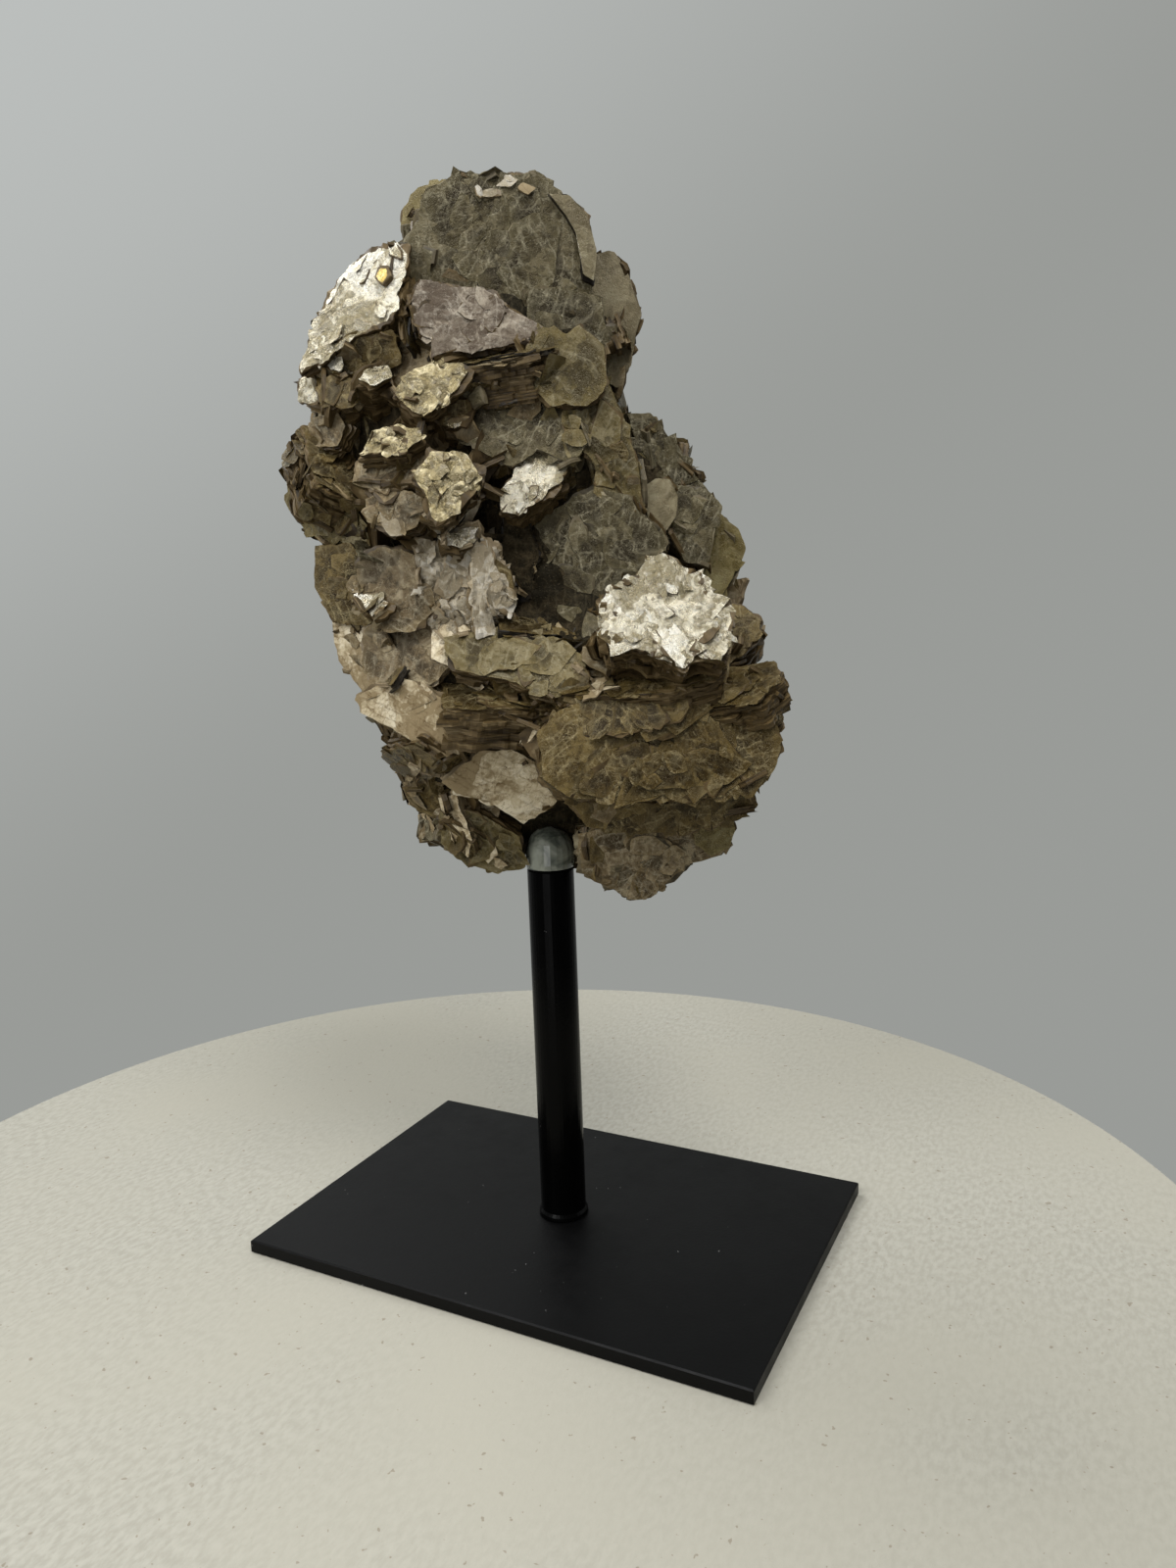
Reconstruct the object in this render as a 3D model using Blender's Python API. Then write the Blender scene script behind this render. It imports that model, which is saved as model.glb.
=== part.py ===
"""A cluster of mica crystals glued to the top of a black steel display stand.

Row frame: metres, +Z up, origin at the middle of the base plate's underside, +X along the
plate's long side and +Y along its short side, away from the front.

The specimen is laid out in a frame of its own that turns about the post: "right" and "away"
are horizontal, "up" is the height above the table. One book of mica is a stack of sheets.
Its outline is given as seen square on, in millimetres, and it is placed by the middle of its
outer face and by the way that face looks: (right, front, up).
"""

import math
import random
from collections import namedtuple

import bmesh
import bpy
from mathutils import Matrix, Vector

MM = 0.001

# ---------------------------------------------------------------- driving dimensions, in mm

BASE_LENGTH = 114.3
BASE_WIDTH = 76.2
BASE_THICKNESS = 3.0
BASE_EDGE_BREAK = 0.3

POST_RADIUS = 5.0
POST_TOP = 82.0
POST_FOOT_RADIUS = 5.5
POST_FOOT_HEIGHT = 1.3
POST_SIDES = 40

GLUE_HEIGHT = 8.6
GLUE_RADIUS = 5.25
GLUE_SIDES = 24

PIECE_GAP = 0.3  # between neighbouring solids

SPECIMEN_TURN = 27.2  # degrees from the plate's long side to the specimen's broad side

# ---------------------------------------------------------------- the mass behind the books

Station = namedtuple("Station", "up left right front back")

CORE_STATIONS = (
    Station(80, 3, 23, 3, 12),
    Station(86, -14, 29, 2, 18),
    Station(93, -24, 35, -3, 22),
    Station(103, -29, 42, -14, 26),
    Station(115, -33, 43, -20, 29),
    Station(128, -36, 40, -19, 31),
    Station(142, -39, 38, -14, 31),
    Station(156, -44, 35, -13, 30),
    Station(169, -43, 25, -15, 27),
    Station(181, -42, 14, -15, 23),
    Station(193, -36, 17, -11, 19),
    Station(203, -25, 11, -4, 15),
    Station(213, -19, 8, 1, 11),
    Station(218, -10, 3, 3, 8),
)
CORE_SIDES = 14
CORE_SQUARENESS = 2.6  # exponent of the section: 2 is an ellipse, more is squarer
CORE_ROUGHNESS = 0.06

# ---------------------------------------------------------------- the books on the front

Book = namedtuple("Book", "name at facing thick outline")

FRONT_BOOKS = (
    # The head: one great face, with thin sheets standing out behind it.
    Book("head_face", (-2, -8, 203), (0.15, 1, -0.05), 12,
         ((-16, 11), (-10, 13.6), (-4.5, 14.6), (4, 14.6), (9, 12), (13, 8), (14, 1), (15, -7), (14, -14),
          (9.5, -16), (4.5, -12), (-5, -6), (-18, -7), (-21, -2), (-19, 5))),
    Book("head_left_lobe", (-18, -4, 213), (-0.1, 1, 0.1), 9,
         ((-6, -3), (-5.4, 1), (-2, 4.4), (3, 6), (7, 4), (6, -3), (1, -6), (-4, -6))),
    Book("head_crown", (2.5, -1, 212.5), (0.1, 1, 0.1), 8,
         ((-12, 4), (-9, 6.8), (-4, 7.8), (1, 7.4), (9.6, 1), (10, -5), (-2, -9), (-10, -5))),
    Book("head_side_sheet", (17, -1, 194), (0.1, 1, 0.05), 4,
         ((-5, 10.6), (-1, 12), (0.4, 11.6), (3, 7.4), (5.4, 0), (4.2, -5), (3.4, -10), (0.5, -14.5),
          (-4, -11), (-7, -3), (-6, 5))),
    Book("head_neck_lump", (-24.5, -8, 204), (-0.3, 1, 0.1), 10,
         ((-6, -1), (-1, 2), (3, 3), (6, 0), (5, -4), (-3, -4))),
    # The left shoulder.
    Book("silver_shoulder", (-31.5, -13, 194), (-0.4, 1, 0.42), 10,
         ((3, 11), (7.4, 11.4), (9.2, 9), (9.7, 2), (9, -3.4), (4, -6), (-4, -9), (-11, -12),
          (-11, -8.4), (-8.4, -1), (-6, 4), (-3, 8.6))),
    Book("pink_ledge", (-10, -18, 190), (0.08, 1, 0.05), 9,
         ((-11, 2.6), (-9, 6.4), (-2.6, 5.6), (2.6, 5.2), (7, 1.8), (14.4, -2.6), (11, -4.4), (3.4, -6),
          (-3.4, -6.4), (-9.4, -3.4))),
    Book("ledge_pages", (-5, -15, 183), (-0.14, 0.35, 1), 8,
         ((-11, -4), (-3, -6), (7, -5), (11, 0), (9, 6), (-9, 6))),
    Book("shoulder_step", (-31.5, -14, 184.5), (-0.2, 1, -0.35), 9,
         ((-9, -1), (-2, 2.6), (7.5, 3.6), (8, -2.4), (2, -4), (-6, -3.6))),
    Book("silver_left_edge", (-40.5, -10, 182), (-0.55, 1, 0.3), 7,
         ((-4.6, -0.5), (-2.4, 4.4), (0.4, 6.4), (3.4, 5), (5.4, 1.6), (3, -3), (-0.4, -5.4), (-4.6, -4))),
    Book("gold_ledge", (-17, -22, 177), (0, 1, 0.45), 11,
         ((-7, -1), (-4.4, 3), (0.4, 5.4), (5, 5), (7, 3), (5, -0.2), (1.4, -3.4), (-2, -5.8), (-4.8, -4))),
    Book("brown_flake", (-36, -16, 178), (-0.15, 1, 0.25), 10,
         ((-4, 1), (0.5, 3), (5, 1), (3, -3), (-2.5, -3))),
    Book("bright_chip", (-27.5, -19, 180), (0.05, 1, 0.6), 10,
         ((-2.5, 1.5), (2, 2), (2.6, -0.6), (-1, -2.4), (-3.4, -1))),
    Book("pale_knob", (-38, -14, 171.5), (-0.3, 1, 0.2), 10,
         ((-3.8, 2.4), (1.5, 3.6), (4, 0), (1.5, -3.6), (-3.4, -3))),
    Book("low_gold_chip", (-24, -24, 167.5), (-0.1, 1, 0.75), 17,
         ((-6.5, -3), (-4, 2.6), (0, 3.4), (4.4, 2.6), (5, 0), (1.6, -2.6))),
    Book("pocket_chip", (-14, -18, 172), (0.1, 1, 0.6), 8,
         ((-2.6, -1), (-1, 1.6), (3, 1.6), (2.6, -1), (0, -2))),
    Book("middle_flake", (-26, -22, 162), (-0.1, 1, 0.3), 13,
         ((-6, 2.6), (1, 3.6), (6.6, 3), (5.6, -0.6), (3.6, -3), (-3, -3.4), (-6.4, -1.4))),
    Book("hanging_flake", (-14.5, -27, 159), (0.1, 1, 0.25), 17,
         ((-6.6, 1.4), (-3, 6.2), (2, 5.6), (5.8, 3), (6, 1), (1.7, -3), (0.8, -5.6), (-1.4, -7),
          (-3.2, -5.6), (-4.6, -1))),
    Book("silver_crescent", (-14, -22, 150), (0.1, 1, 0.6), 13,
         ((-3.6, 0.4), (1.8, 2.2), (3.8, 2.8), (3.2, 0.2), (0.4, -2.4), (-2, -2))),
    Book("brown_middle_flake", (-25, -23, 155.5), (-0.15, 1, 0.1), 14,
         ((-6, 2.4), (-1, 4), (3.6, 3.2), (6, -0.5), (3.6, -4), (-1, -4.4), (-5.4, -2))),
    # The left side.
    Book("left_wing", (-41, -10, 157), (-0.5, 1, -0.1), 12,
         ((-8, 8.6), (-2, 8.8), (3, 4), (8, -2), (9, -8), (6, -11), (1, -8), (-6, -3), (-8.4, 3))),
    Book("left_pages", (-44, -4, 168.5), (-1, 0.5, 0.15), 9,
         ((-6, 6), (2, 8), (6, 3), (5, -7), (-3, -8), (-7, -2))),
    Book("slanting_pages", (-38, -13, 166), (0.65, 0.6, 0.6), 10,
         ((-5, 7), (4, 8), (5, -2), (3, -9), (-5, -7))),
    Book("left_middle", (-36, -14, 143), (-0.4, 1, 0), 12,
         ((-7, 8), (1, 7), (6.5, 3), (8, -6), (2, -9), (-5, -7), (-8, 0))),
    Book("gold_patch", (-32, -18.5, 139.5), (-0.25, 1, 0.6), 12,
         ((-3.5, 3.6), (-1, 4), (4.6, -1.5), (3.8, -3.6), (1.6, -4.6), (-3, 0.5))),
    Book("left_lower_wall", (-33.5, -14, 129), (-0.45, 1, 0), 11,
         ((-7, 9.5), (-1.6, 6), (3.4, 4), (8, -2.4), (4.4, -8), (-1, -8), (-4.4, -4.6), (-7, 1))),
    Book("lower_left_plate", (-25, -20, 116), (-0.18, 1, -0.1), 10,
         ((-10.4, 5), (-6.4, 7.4), (1.8, 7.4), (7, 4.4), (9.6, 0), (9.4, -7), (6.4, -7.8), (1.8, -5.4),
          (-6, 0), (-9.8, 2.4))),
    Book("lower_left_pages", (-27, -14, 107), (-0.6, 0.7, -0.8), 9,
         ((-7, 3), (-2, 5), (9, 4), (11, -2), (2, -5), (-6, -3))),
    Book("grey_lump", (-27, -7, 105), (-0.35, 1, -0.3), 9,
         ((-4.4, 2), (-2, 5), (3, 1), (5.4, -3), (1.4, -5), (-3, -3.4))),
    Book("grey_lump_low", (-24.5, -6, 98.5), (-0.3, 1, -0.4), 9,
         ((-5, 3), (3.6, 4.4), (4.6, -2), (1.5, -4), (-3.4, -2.6))),
    Book("amber_lobe", (-13, -6, 89), (0, 1, -0.4), 12,
         ((-8.4, 7), (-4.6, 8.8), (1, 6), (7, 1), (7.8, -6.6), (2, -8), (-2.2, -6), (-6, -4), (-9, 0.4))),
    Book("cream_edge", (-18.5, -9, 94), (-0.5, 1, -0.3), 11,
         ((-2.6, 6), (1.6, 6), (2.6, -4), (0, -8), (-2.4, -4))),
    # The pale face that runs down to the glue, and the pale crust above it.
    Book("cream_face", (-8.4, -16, 102.5), (0.12, 1, -0.42), 9,
         ((-11.8, 1), (-3.7, 7.8), (2, 8), (7, 5), (10.6, 0), (11.4, -4.2), (7, -7.6), (4.4, -9),
          (-2, -4.4), (-9, -1.4))),
    Book("pale_crust", (-14, -19, 141.5), (0.05, 1, 0), 11,
         ((-8.2, 7), (1.8, 10.6), (7.3, 7), (8, -1), (6, -8), (-3.6, -10), (-8.6, -2.6))),
    Book("pale_brow", (-4, -23, 126.5), (0, 1, 0.5), 10,
         ((-13.4, 5.5), (-4.5, 7.4), (3.6, 6.4), (12, 1.6), (13.6, -4.6), (6.3, -7.2), (-2.7, -3),
          (-12, -1))),
    Book("white_knob", (-5.5, -20, 139.5), (0.3, 1, 0.1), 9,
         ((-2.4, 4), (1.6, 3.6), (2.4, -1), (1, -4), (-3, -3))),
    Book("swept_pages", (-7, -19, 121), (0.05, 0.35, 1), 9,
         ((-12, -4), (-6, -7), (4, -7), (11, -4), (12, 5), (-11, 6))),
    # The middle.
    Book("upper_face", (-0.7, -16, 171), (0, 1, 0.15), 9,
         ((-10, 5.6), (4.6, 10.4), (10, 4), (12, -3.8), (8, -8), (2, -5), (-3, -8), (-9, -5), (-12, -2))),
    Book("olive_sheet", (11, -15, 172), (0.38, 1, 0.1), 8,
         ((-10.4, 13.4), (-7, 15.6), (-2, 13), (2.4, 9.8), (8, -1), (11, -10), (11.4, -17), (7.6, -14),
          (0, -6), (-6, 5))),
    Book("silver_tile", (1, -17, 161), (-0.05, 1, 0.5), 9,
         ((1, 8), (6, 4), (5, -0.6), (1.3, -4.6), (-3.4, -8), (-6.4, -7), (-7.2, -2.6), (-3.4, 2.8))),
    Book("dark_face", (10.5, -14, 147.6), (-0.15, 1, -0.05), 11,
         ((-12, 4), (-5.6, 8), (2, 11.4), (8, 9.4), (15, 0), (11.4, -5), (0, -10.6), (-8, -10.6),
          (-12.4, -8), (-14, -2))),
    Book("dark_ledge", (6, -14, 134), (0, 0.7, 1), 8,
         ((-11, 0), (-4, 5), (6, 6), (9, 1), (5, -7), (-6, -6))),
    # The right side.
    Book("right_shoulder", (28.5, -4, 165), (0.42, 1, 0.1), 10,
         ((-11, 7.6), (-6, 8.6), (-4, 7), (0, 1.6), (6.4, -5.6), (10, -9.4), (6.4, -11.4), (-5, -6))),
    Book("grey_disc", (25, -10.5, 157.5), (0.1, 1, 0.15), 9,
         ((-3.2, 2), (-1, 3.4), (2, 3), (3.2, 0), (2.6, -4), (0.4, -7), (-2.4, -6), (-3.6, -2))),
    Book("right_dark_flake", (31.5, -9, 152), (0.2, 1, 0.1), 10,
         ((-4, 7.5), (2.4, 7), (5.4, 3.4), (3.6, -2), (2.4, -8), (-2, -7), (-5, -1))),
    Book("right_clear_flake", (37.5, -6, 146.3), (0.2, 1, 0), 4,
         ((-5, 6), (-1, 7.8), (2.6, 4.6), (4.3, 1), (3.4, -2), (1.4, -5.6), (-0.4, -8.8), (-5, -6.6))),
    Book("silver_star", (24, -29, 136), (0.1, 1, 0.55), 17,
         ((-11, 3.8), (-5, 6.6), (-3.2, 11), (1.6, 11), (6, 7.4), (10, 1.8), (12, -1), (11.2, -8.4),
          (8.6, -10.8), (4.4, -10), (2.2, -12.4), (-1, -10.8), (-6.4, -8.8), (-10.6, -9.6), (-12.4, -4.4))),
    Book("right_back_pages", (39, -15, 130.5), (-0.2, 1, 0.45), 12,
         ((-4, 6.4), (1.6, 5), (4.4, 2.6), (3.4, -1), (0.6, -4.4), (-4.4, -7), (-5, 0))),
    Book("sweeping_sheet", (18, -24, 123.5), (-0.15, 0.6, 1), 9,
         ((-16, -4), (-6, -6), (7, -6), (16, -2), (17, 6), (2, 9), (-14, 7))),
    Book("right_tip", (36.5, -23, 121), (-0.38, 0.55, 0.9), 7,
         ((-13, -3), (-4, -6), (6, -5), (9.6, 1), (7, 6), (-10, 6))),
    Book("lower_right_face", (22.5, -27, 112), (0.12, 1, 0.2), 18,
         ((-23, 1.5), (-19, 5.4), (-12, 7.8), (-4.5, 9), (4.5, 7.2), (13, 7.8), (20, 5.8), (22.6, 1.4),
          (23, -3), (20.4, -7.4), (17, -10.6), (8, -11.6), (-10, -11.6), (-17.4, -10.4), (-22, -7))),
    Book("face_terrace_high", (15, -28.5, 116.5), (-0.05, 1, 0.3), 8,
         ((-13, -1), (-6, 3), (5, 4), (13, 2.6), (11, -1.4), (1, -3), (-8, -3.4))),
    Book("face_terrace_low", (27, -29, 106.5), (0.15, 1, 0.1), 8,
         ((-12, -1), (-5, 3), (6, 3.4), (13, 0.6), (8, -3.4), (-6, -4))),
    Book("right_face_corner", (39, -18, 108), (0.75, 1, 0.1), 9,
         ((-6, 8), (1, 10), (7, 6), (8.4, -1), (6, -6), (0, -9), (-6, -7))),
    Book("right_spur", (45, -18, 114), (0.3, 1, 0.5), 5,
         ((-6, 3), (-2, 1.6), (2.6, 0.8), (2, -1), (-2.4, -2), (-6, -3))),
    Book("lower_right_band", (26, -21, 98), (0.1, 1, -0.3), 15,
         ((-22, 2.4), (-17.6, 3.8), (14.6, 2.6), (15.6, -0.6), (12, -3.6), (1.4, -5.6), (-10, -5.4),
          (-17.6, -4))),
    Book("lower_lobe", (19, -9, 85.5), (0.05, 1, -0.25), 13,
         ((-12.8, 5.6), (-7, 7.2), (9, 6), (16.4, 5.6), (18.6, 2.4), (16.6, -0.2), (9.4, -2.4),
          (5.6, -6.8), (0.4, -9.8), (-3.8, -9), (-9.4, -4.6), (-12.4, -3))),
)

# ---------------------------------------------------------------- the books round the back

BACK_ROWS = (
    # height, how many books, the first and last bearing in degrees (0 is the front, 90 the right)
    (206, 3, 90, 270),
    (193, 5, 90, 275),
    (178, 5, 88, 275),
    (163, 6, 84, 276),
    (148, 6, 84, 276),
    (133, 6, 84, 276),
    (118, 6, 88, 274),
    (104, 5, 88, 272),
    (93, 4, 110, 236),
)
BACK_BOOK_RADIUS = (10.0, 15.0)
BACK_BOOK_THICKNESS = (8.0, 11.0)
BACK_BOOK_PROUD = (1.0, 4.0)
BACK_BOOK_LEAN = 0.6
BACK_BOOK_STRETCH = 0.28
SIDE_SHARE = 0.45  # how little a book stands out, leans and spreads where the cluster's outline is seen

PAGE_SCALES = {2: (0.97, 1.0), 3: (0.94, 0.9, 1.0)}  # each layer's outline, back to face
PAGE_JITTER = 0.035
LARGE_BOOK = 11.0  # mean outline radius from which a book shows three layers


# ---------------------------------------------------------------- helpers

def new_material(name, colour, roughness, metallic=0.0):
    material = bpy.data.materials.new(name)
    material.use_nodes = True
    shader = material.node_tree.nodes["Principled BSDF"]
    shader.inputs["Base Color"].default_value = (*colour, 1.0)
    shader.inputs["Roughness"].default_value = roughness
    shader.inputs["Metallic"].default_value = metallic
    return material


def new_object(name, mesh, material=None, parent=None):
    made = bpy.data.objects.new(name, mesh)
    bpy.context.scene.collection.objects.link(made)
    made.parent = parent
    if material:
        mesh.materials.append(material)
    return made


def loft(name, rings):
    """A closed mesh through rings of equal length, with a flat cap on the first and the last."""
    built = bmesh.new()
    loops = [[built.verts.new([c * MM for c in point]) for point in ring] for ring in rings]
    count = len(loops[0])
    for low, high in zip(loops, loops[1:]):
        for i in range(count):
            j = (i + 1) % count
            built.faces.new((low[i], low[j], high[j], high[i]))
    built.faces.new(reversed(loops[0]))
    built.faces.new(loops[-1])
    bmesh.ops.recalc_face_normals(built, faces=built.faces)
    mesh = bpy.data.meshes.new(name)
    built.to_mesh(mesh)
    built.free()
    return mesh


def turned(name, profile, sides):
    """A solid of revolution about Z from (radius, height) points, bottom to top."""
    rings = []
    for radius, height in profile:
        angles = [2 * math.pi * i / sides for i in range(sides)]
        rings.append([(radius * math.cos(a), radius * math.sin(a), height) for a in angles])
    return loft(name, rings)


# ---------------------------------------------------------------- the stand

def base_plate():
    """The steel plate, its upper and lower edges just broken."""
    rings = []
    for height, inset in (
        (0, BASE_EDGE_BREAK),
        (BASE_EDGE_BREAK, 0),
        (BASE_THICKNESS - BASE_EDGE_BREAK, 0),
        (BASE_THICKNESS, BASE_EDGE_BREAK),
    ):
        x = BASE_LENGTH / 2 - inset
        y = BASE_WIDTH / 2 - inset
        rings.append([(-x, -y, height), (x, -y, height), (x, y, height), (-x, y, height)])
    paint = new_material("base_paint", (0.012, 0.012, 0.012), 0.45)
    return new_object("base_plate", loft("base_plate", rings), paint)


def post(parent):
    """The round steel bar, with the small weld flare at its foot."""
    foot = BASE_THICKNESS + PIECE_GAP
    profile = (
        (POST_FOOT_RADIUS, foot),
        (POST_FOOT_RADIUS - 0.1, foot + 0.5 * POST_FOOT_HEIGHT),
        (POST_RADIUS, foot + POST_FOOT_HEIGHT),
        (POST_RADIUS, POST_TOP - 0.3),
        (POST_RADIUS - 0.3, POST_TOP),
    )
    mesh = turned("post", profile, POST_SIDES)
    mesh.shade_smooth()
    mesh.set_sharp_from_angle(angle=math.radians(35))
    return new_object("post", mesh, new_material("post_paint", (0.01, 0.01, 0.01), 0.25), parent)


def glue_profile(grow=0.0):
    """(radius, height) of the dome of glue, or of a shape that much larger all round."""
    low = POST_TOP + PIECE_GAP
    rounds = ((0.97, 0.0), (1.0, 0.12), (1.0, 0.4), (0.93, 0.62), (0.76, 0.82), (0.45, 0.95), (0.12, 1.0))
    return [(GLUE_RADIUS * r + grow, low + GLUE_HEIGHT * h + (grow if h > 0.5 else -grow)) for r, h in rounds]


def glue_bead(parent):
    mesh = turned("glue_bead", glue_profile(), GLUE_SIDES)
    mesh.shade_smooth()
    return new_object("glue_bead", mesh, new_material("glue", (0.22, 0.25, 0.2), 0.15), parent)


# ---------------------------------------------------------------- the mica

def facing_matrix(at, facing):
    """Places a book: X right, Y up and Z outwards of its face, in the specimen's frame."""
    right, front, up = facing
    out = Vector((right, -front, up)).normalized()
    upward = Vector((0.0, 0.25, 1.0))
    upward = (upward - upward.dot(out) * out).normalized()
    side = upward.cross(out)
    turn = Matrix((side, upward, out)).transposed().to_4x4()
    return Matrix.Translation(Vector(at) * MM) @ turn


def book_mesh(name, outline, thick, draw):
    """A stack of two or three layers whose edges step in and out, its face at Z = 0."""
    size = sum(math.hypot(x, y) for x, y in outline) / len(outline)
    scales = PAGE_SCALES[3 if size > LARGE_BOOK else 2]
    if sum(x0 * y1 - x1 * y0 for (x0, y0), (x1, y1) in zip(outline, outline[1:] + outline[:1])) < 0:
        outline = outline[::-1]
    rings = []
    for layer, scale in enumerate(scales):
        grown = [scale * (1 - PAGE_JITTER * draw.random()) for _ in outline]
        for share in (layer, layer + 1):
            height = -thick * (1 - share / len(scales))
            rings.append([(x * g, y * g, height) for (x, y), g in zip(outline, grown)])
    return loft(name, rings)


def core_point(station, bearing):
    """A point on the core's section: bearing 0 is the front, 90 degrees the right."""
    across = math.sin(bearing)
    along = math.cos(bearing)
    reach = (abs(across) ** CORE_SQUARENESS + abs(along) ** CORE_SQUARENESS) ** (-1 / CORE_SQUARENESS)
    middle = (station.left + station.right) / 2
    depth = (station.front + station.back) / 2
    return (
        middle + reach * across * (station.right - station.left) / 2,
        depth - reach * along * (station.back - station.front) / 2,
    )


def core_mesh(draw):
    rings = []
    for station in CORE_STATIONS:
        ring = []
        for i in range(CORE_SIDES):
            bearing = 2 * math.pi * (i + 0.5 * draw.random()) / CORE_SIDES
            right, away = core_point(station, bearing)
            middle = (station.left + station.right) / 2
            depth = (station.front + station.back) / 2
            swell = 1 - CORE_ROUGHNESS * draw.random()
            ring.append((middle + (right - middle) * swell, depth + (away - depth) * swell, station.up))
        rings.append(ring)
    mesh = loft("core", rings)
    split = bmesh.new()
    split.from_mesh(mesh)
    bmesh.ops.triangulate(split, faces=split.faces)
    split.to_mesh(mesh)
    split.free()
    return mesh


def station_at(up):
    """The core's section at any height, between the stations above and below it."""
    for low, high in zip(CORE_STATIONS, CORE_STATIONS[1:]):
        if low.up <= up <= high.up:
            share = (up - low.up) / (high.up - low.up)
            return Station(*(a + share * (b - a) for a, b in zip(low, high)))
    raise ValueError(up)


def random_outline(draw, radius):
    """A broken sheet's outline: five to eight corners at uneven distances, longer one way."""
    corners = draw.randint(5, 8)
    start = draw.uniform(0, 2 * math.pi)
    long_way = draw.uniform(0, math.pi)
    outline = []
    for i in range(corners):
        angle = start + 2 * math.pi * (i + draw.uniform(-0.3, 0.3)) / corners
        stretch = 1 + BACK_BOOK_STRETCH * math.cos(2 * (angle - long_way))
        reach = radius * stretch * draw.uniform(0.78, 1.15)
        outline.append((reach * math.cos(angle), reach * math.sin(angle)))
    return tuple(outline)


def back_books(draw):
    """Books laid against the sides and back of the core, leaning a little every way."""
    books = []
    for up, count, first, last in BACK_ROWS:
        station = station_at(up)
        for i in range(count):
            degrees = first + (last - first) * (i + draw.uniform(-0.2, 0.2)) / (count - 1)
            bearing = math.radians(degrees)
            right, away = core_point(station, bearing)
            share = SIDE_SHARE + (1 - SIDE_SHARE) * max(0.0, -math.cos(bearing))
            lean = [share * draw.uniform(-BACK_BOOK_LEAN, BACK_BOOK_LEAN) for _ in range(3)]
            facing = (math.sin(bearing) + lean[0], math.cos(bearing) + lean[1], lean[2])
            proud = share * draw.uniform(*BACK_BOOK_PROUD)
            at = (
                right + proud * math.sin(bearing),
                away - proud * math.cos(bearing),
                up + draw.uniform(-2, 2),
            )
            radius = (0.4 + 0.6 * share) * draw.uniform(*BACK_BOOK_RADIUS)
            thick = draw.uniform(*BACK_BOOK_THICKNESS)
            name = f"back_book_{len(books):02d}"
            books.append(Book(name, at, facing, thick, random_outline(draw, radius)))
    return books


def helper(name, mesh, collection):
    """An object that only joins to or cuts another one."""
    made = bpy.data.objects.new(name, mesh)
    collection.objects.link(made)
    made.hide_render = True
    made.display_type = "WIRE"
    return made


def apply_modifiers(made):
    graph = bpy.context.evaluated_depsgraph_get()
    mesh = bpy.data.meshes.new_from_object(made.evaluated_get(graph))
    made.modifiers.clear()
    made.data = mesh


def keep_outer_shell(mesh):
    """Leaves the one outer skin of a solid, so that no pocket stays sealed up inside it."""
    built = bmesh.new()
    built.from_mesh(mesh)
    unseen = set(built.faces)
    shells = []
    while unseen:
        shell = {unseen.pop()}
        edge_of_shell = list(shell)
        while edge_of_shell:
            for side in edge_of_shell.pop().edges:
                near = set(side.link_faces) & unseen
                unseen -= near
                shell |= near
                edge_of_shell.extend(near)
        shells.append(shell)
    shells.sort(key=len)
    inner = set().union(*shells[:-1])
    bmesh.ops.delete(built, geom=list(inner), context="FACES")
    built.to_mesh(mesh)
    built.free()


def mica_cluster(parent):
    """The core and every book joined into one solid, drilled for the post and the glue."""
    draw = random.Random(3)
    books = bpy.data.collections.new("books")
    cutters = bpy.data.collections.new("cutters")
    for collection in (books, cutters):
        bpy.context.scene.collection.children.link(collection)
    cluster = new_object("mica_cluster", core_mesh(draw))
    for book in FRONT_BOOKS + tuple(back_books(draw)):
        made = helper(book.name, book_mesh(book.name, book.outline, book.thick, draw), books)
        made.matrix_world = facing_matrix(book.at, book.facing)
    helper("glue_cutter", turned("glue_cutter", glue_profile(PIECE_GAP), GLUE_SIDES), cutters)
    drill = ((POST_RADIUS + PIECE_GAP, POST_TOP - 20), (POST_RADIUS + PIECE_GAP, POST_TOP + 1))
    helper("post_cutter", turned("post_cutter", drill, GLUE_SIDES), cutters)
    bpy.context.view_layer.update()

    for label, operation, collection in (("Join", "UNION", books), ("Drill", "DIFFERENCE", cutters)):
        step = cluster.modifiers.new(label, "BOOLEAN")
        step.operation = operation
        step.operand_type = "COLLECTION"
        step.collection = collection
        step.solver = "EXACT"
    apply_modifiers(cluster)
    keep_outer_shell(cluster.data)
    for collection in (books, cutters):
        for made in list(collection.objects):
            bpy.data.objects.remove(made)
        bpy.data.collections.remove(collection)

    cluster.data.materials.clear()
    cluster.data.materials.append(new_material("mica", (0.28, 0.24, 0.17), 0.35, 0.2))
    cluster.parent = parent
    return cluster


def main():
    for stale in list(bpy.data.objects):
        bpy.data.objects.remove(stale)
    stand = new_object("stand", None)
    specimen = new_object("specimen", None)
    specimen.parent = stand
    specimen.rotation_euler.z = math.radians(SPECIMEN_TURN)
    base_plate().parent = stand
    post(stand)
    glue_bead(stand)
    mica_cluster(specimen)


main()
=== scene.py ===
# %% [markdown]
# # A mica crystal on its display stand
#
# This lesson dresses a small mineral specimen: a mass of mica books glued to the top of a
# black steel stand. The solids of the part are already made and measured, so they are
# loaded first as a fixed frame. Everything made here is placed in that same frame, in
# metres, and its box is printed beside theirs at the end.

# %% Load the solids of the part
import itertools
import math
import random
from collections import namedtuple

import bmesh
import bpy
import numpy as np
from mathutils import Matrix, Vector
from mathutils.bvhtree import BVHTree


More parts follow.
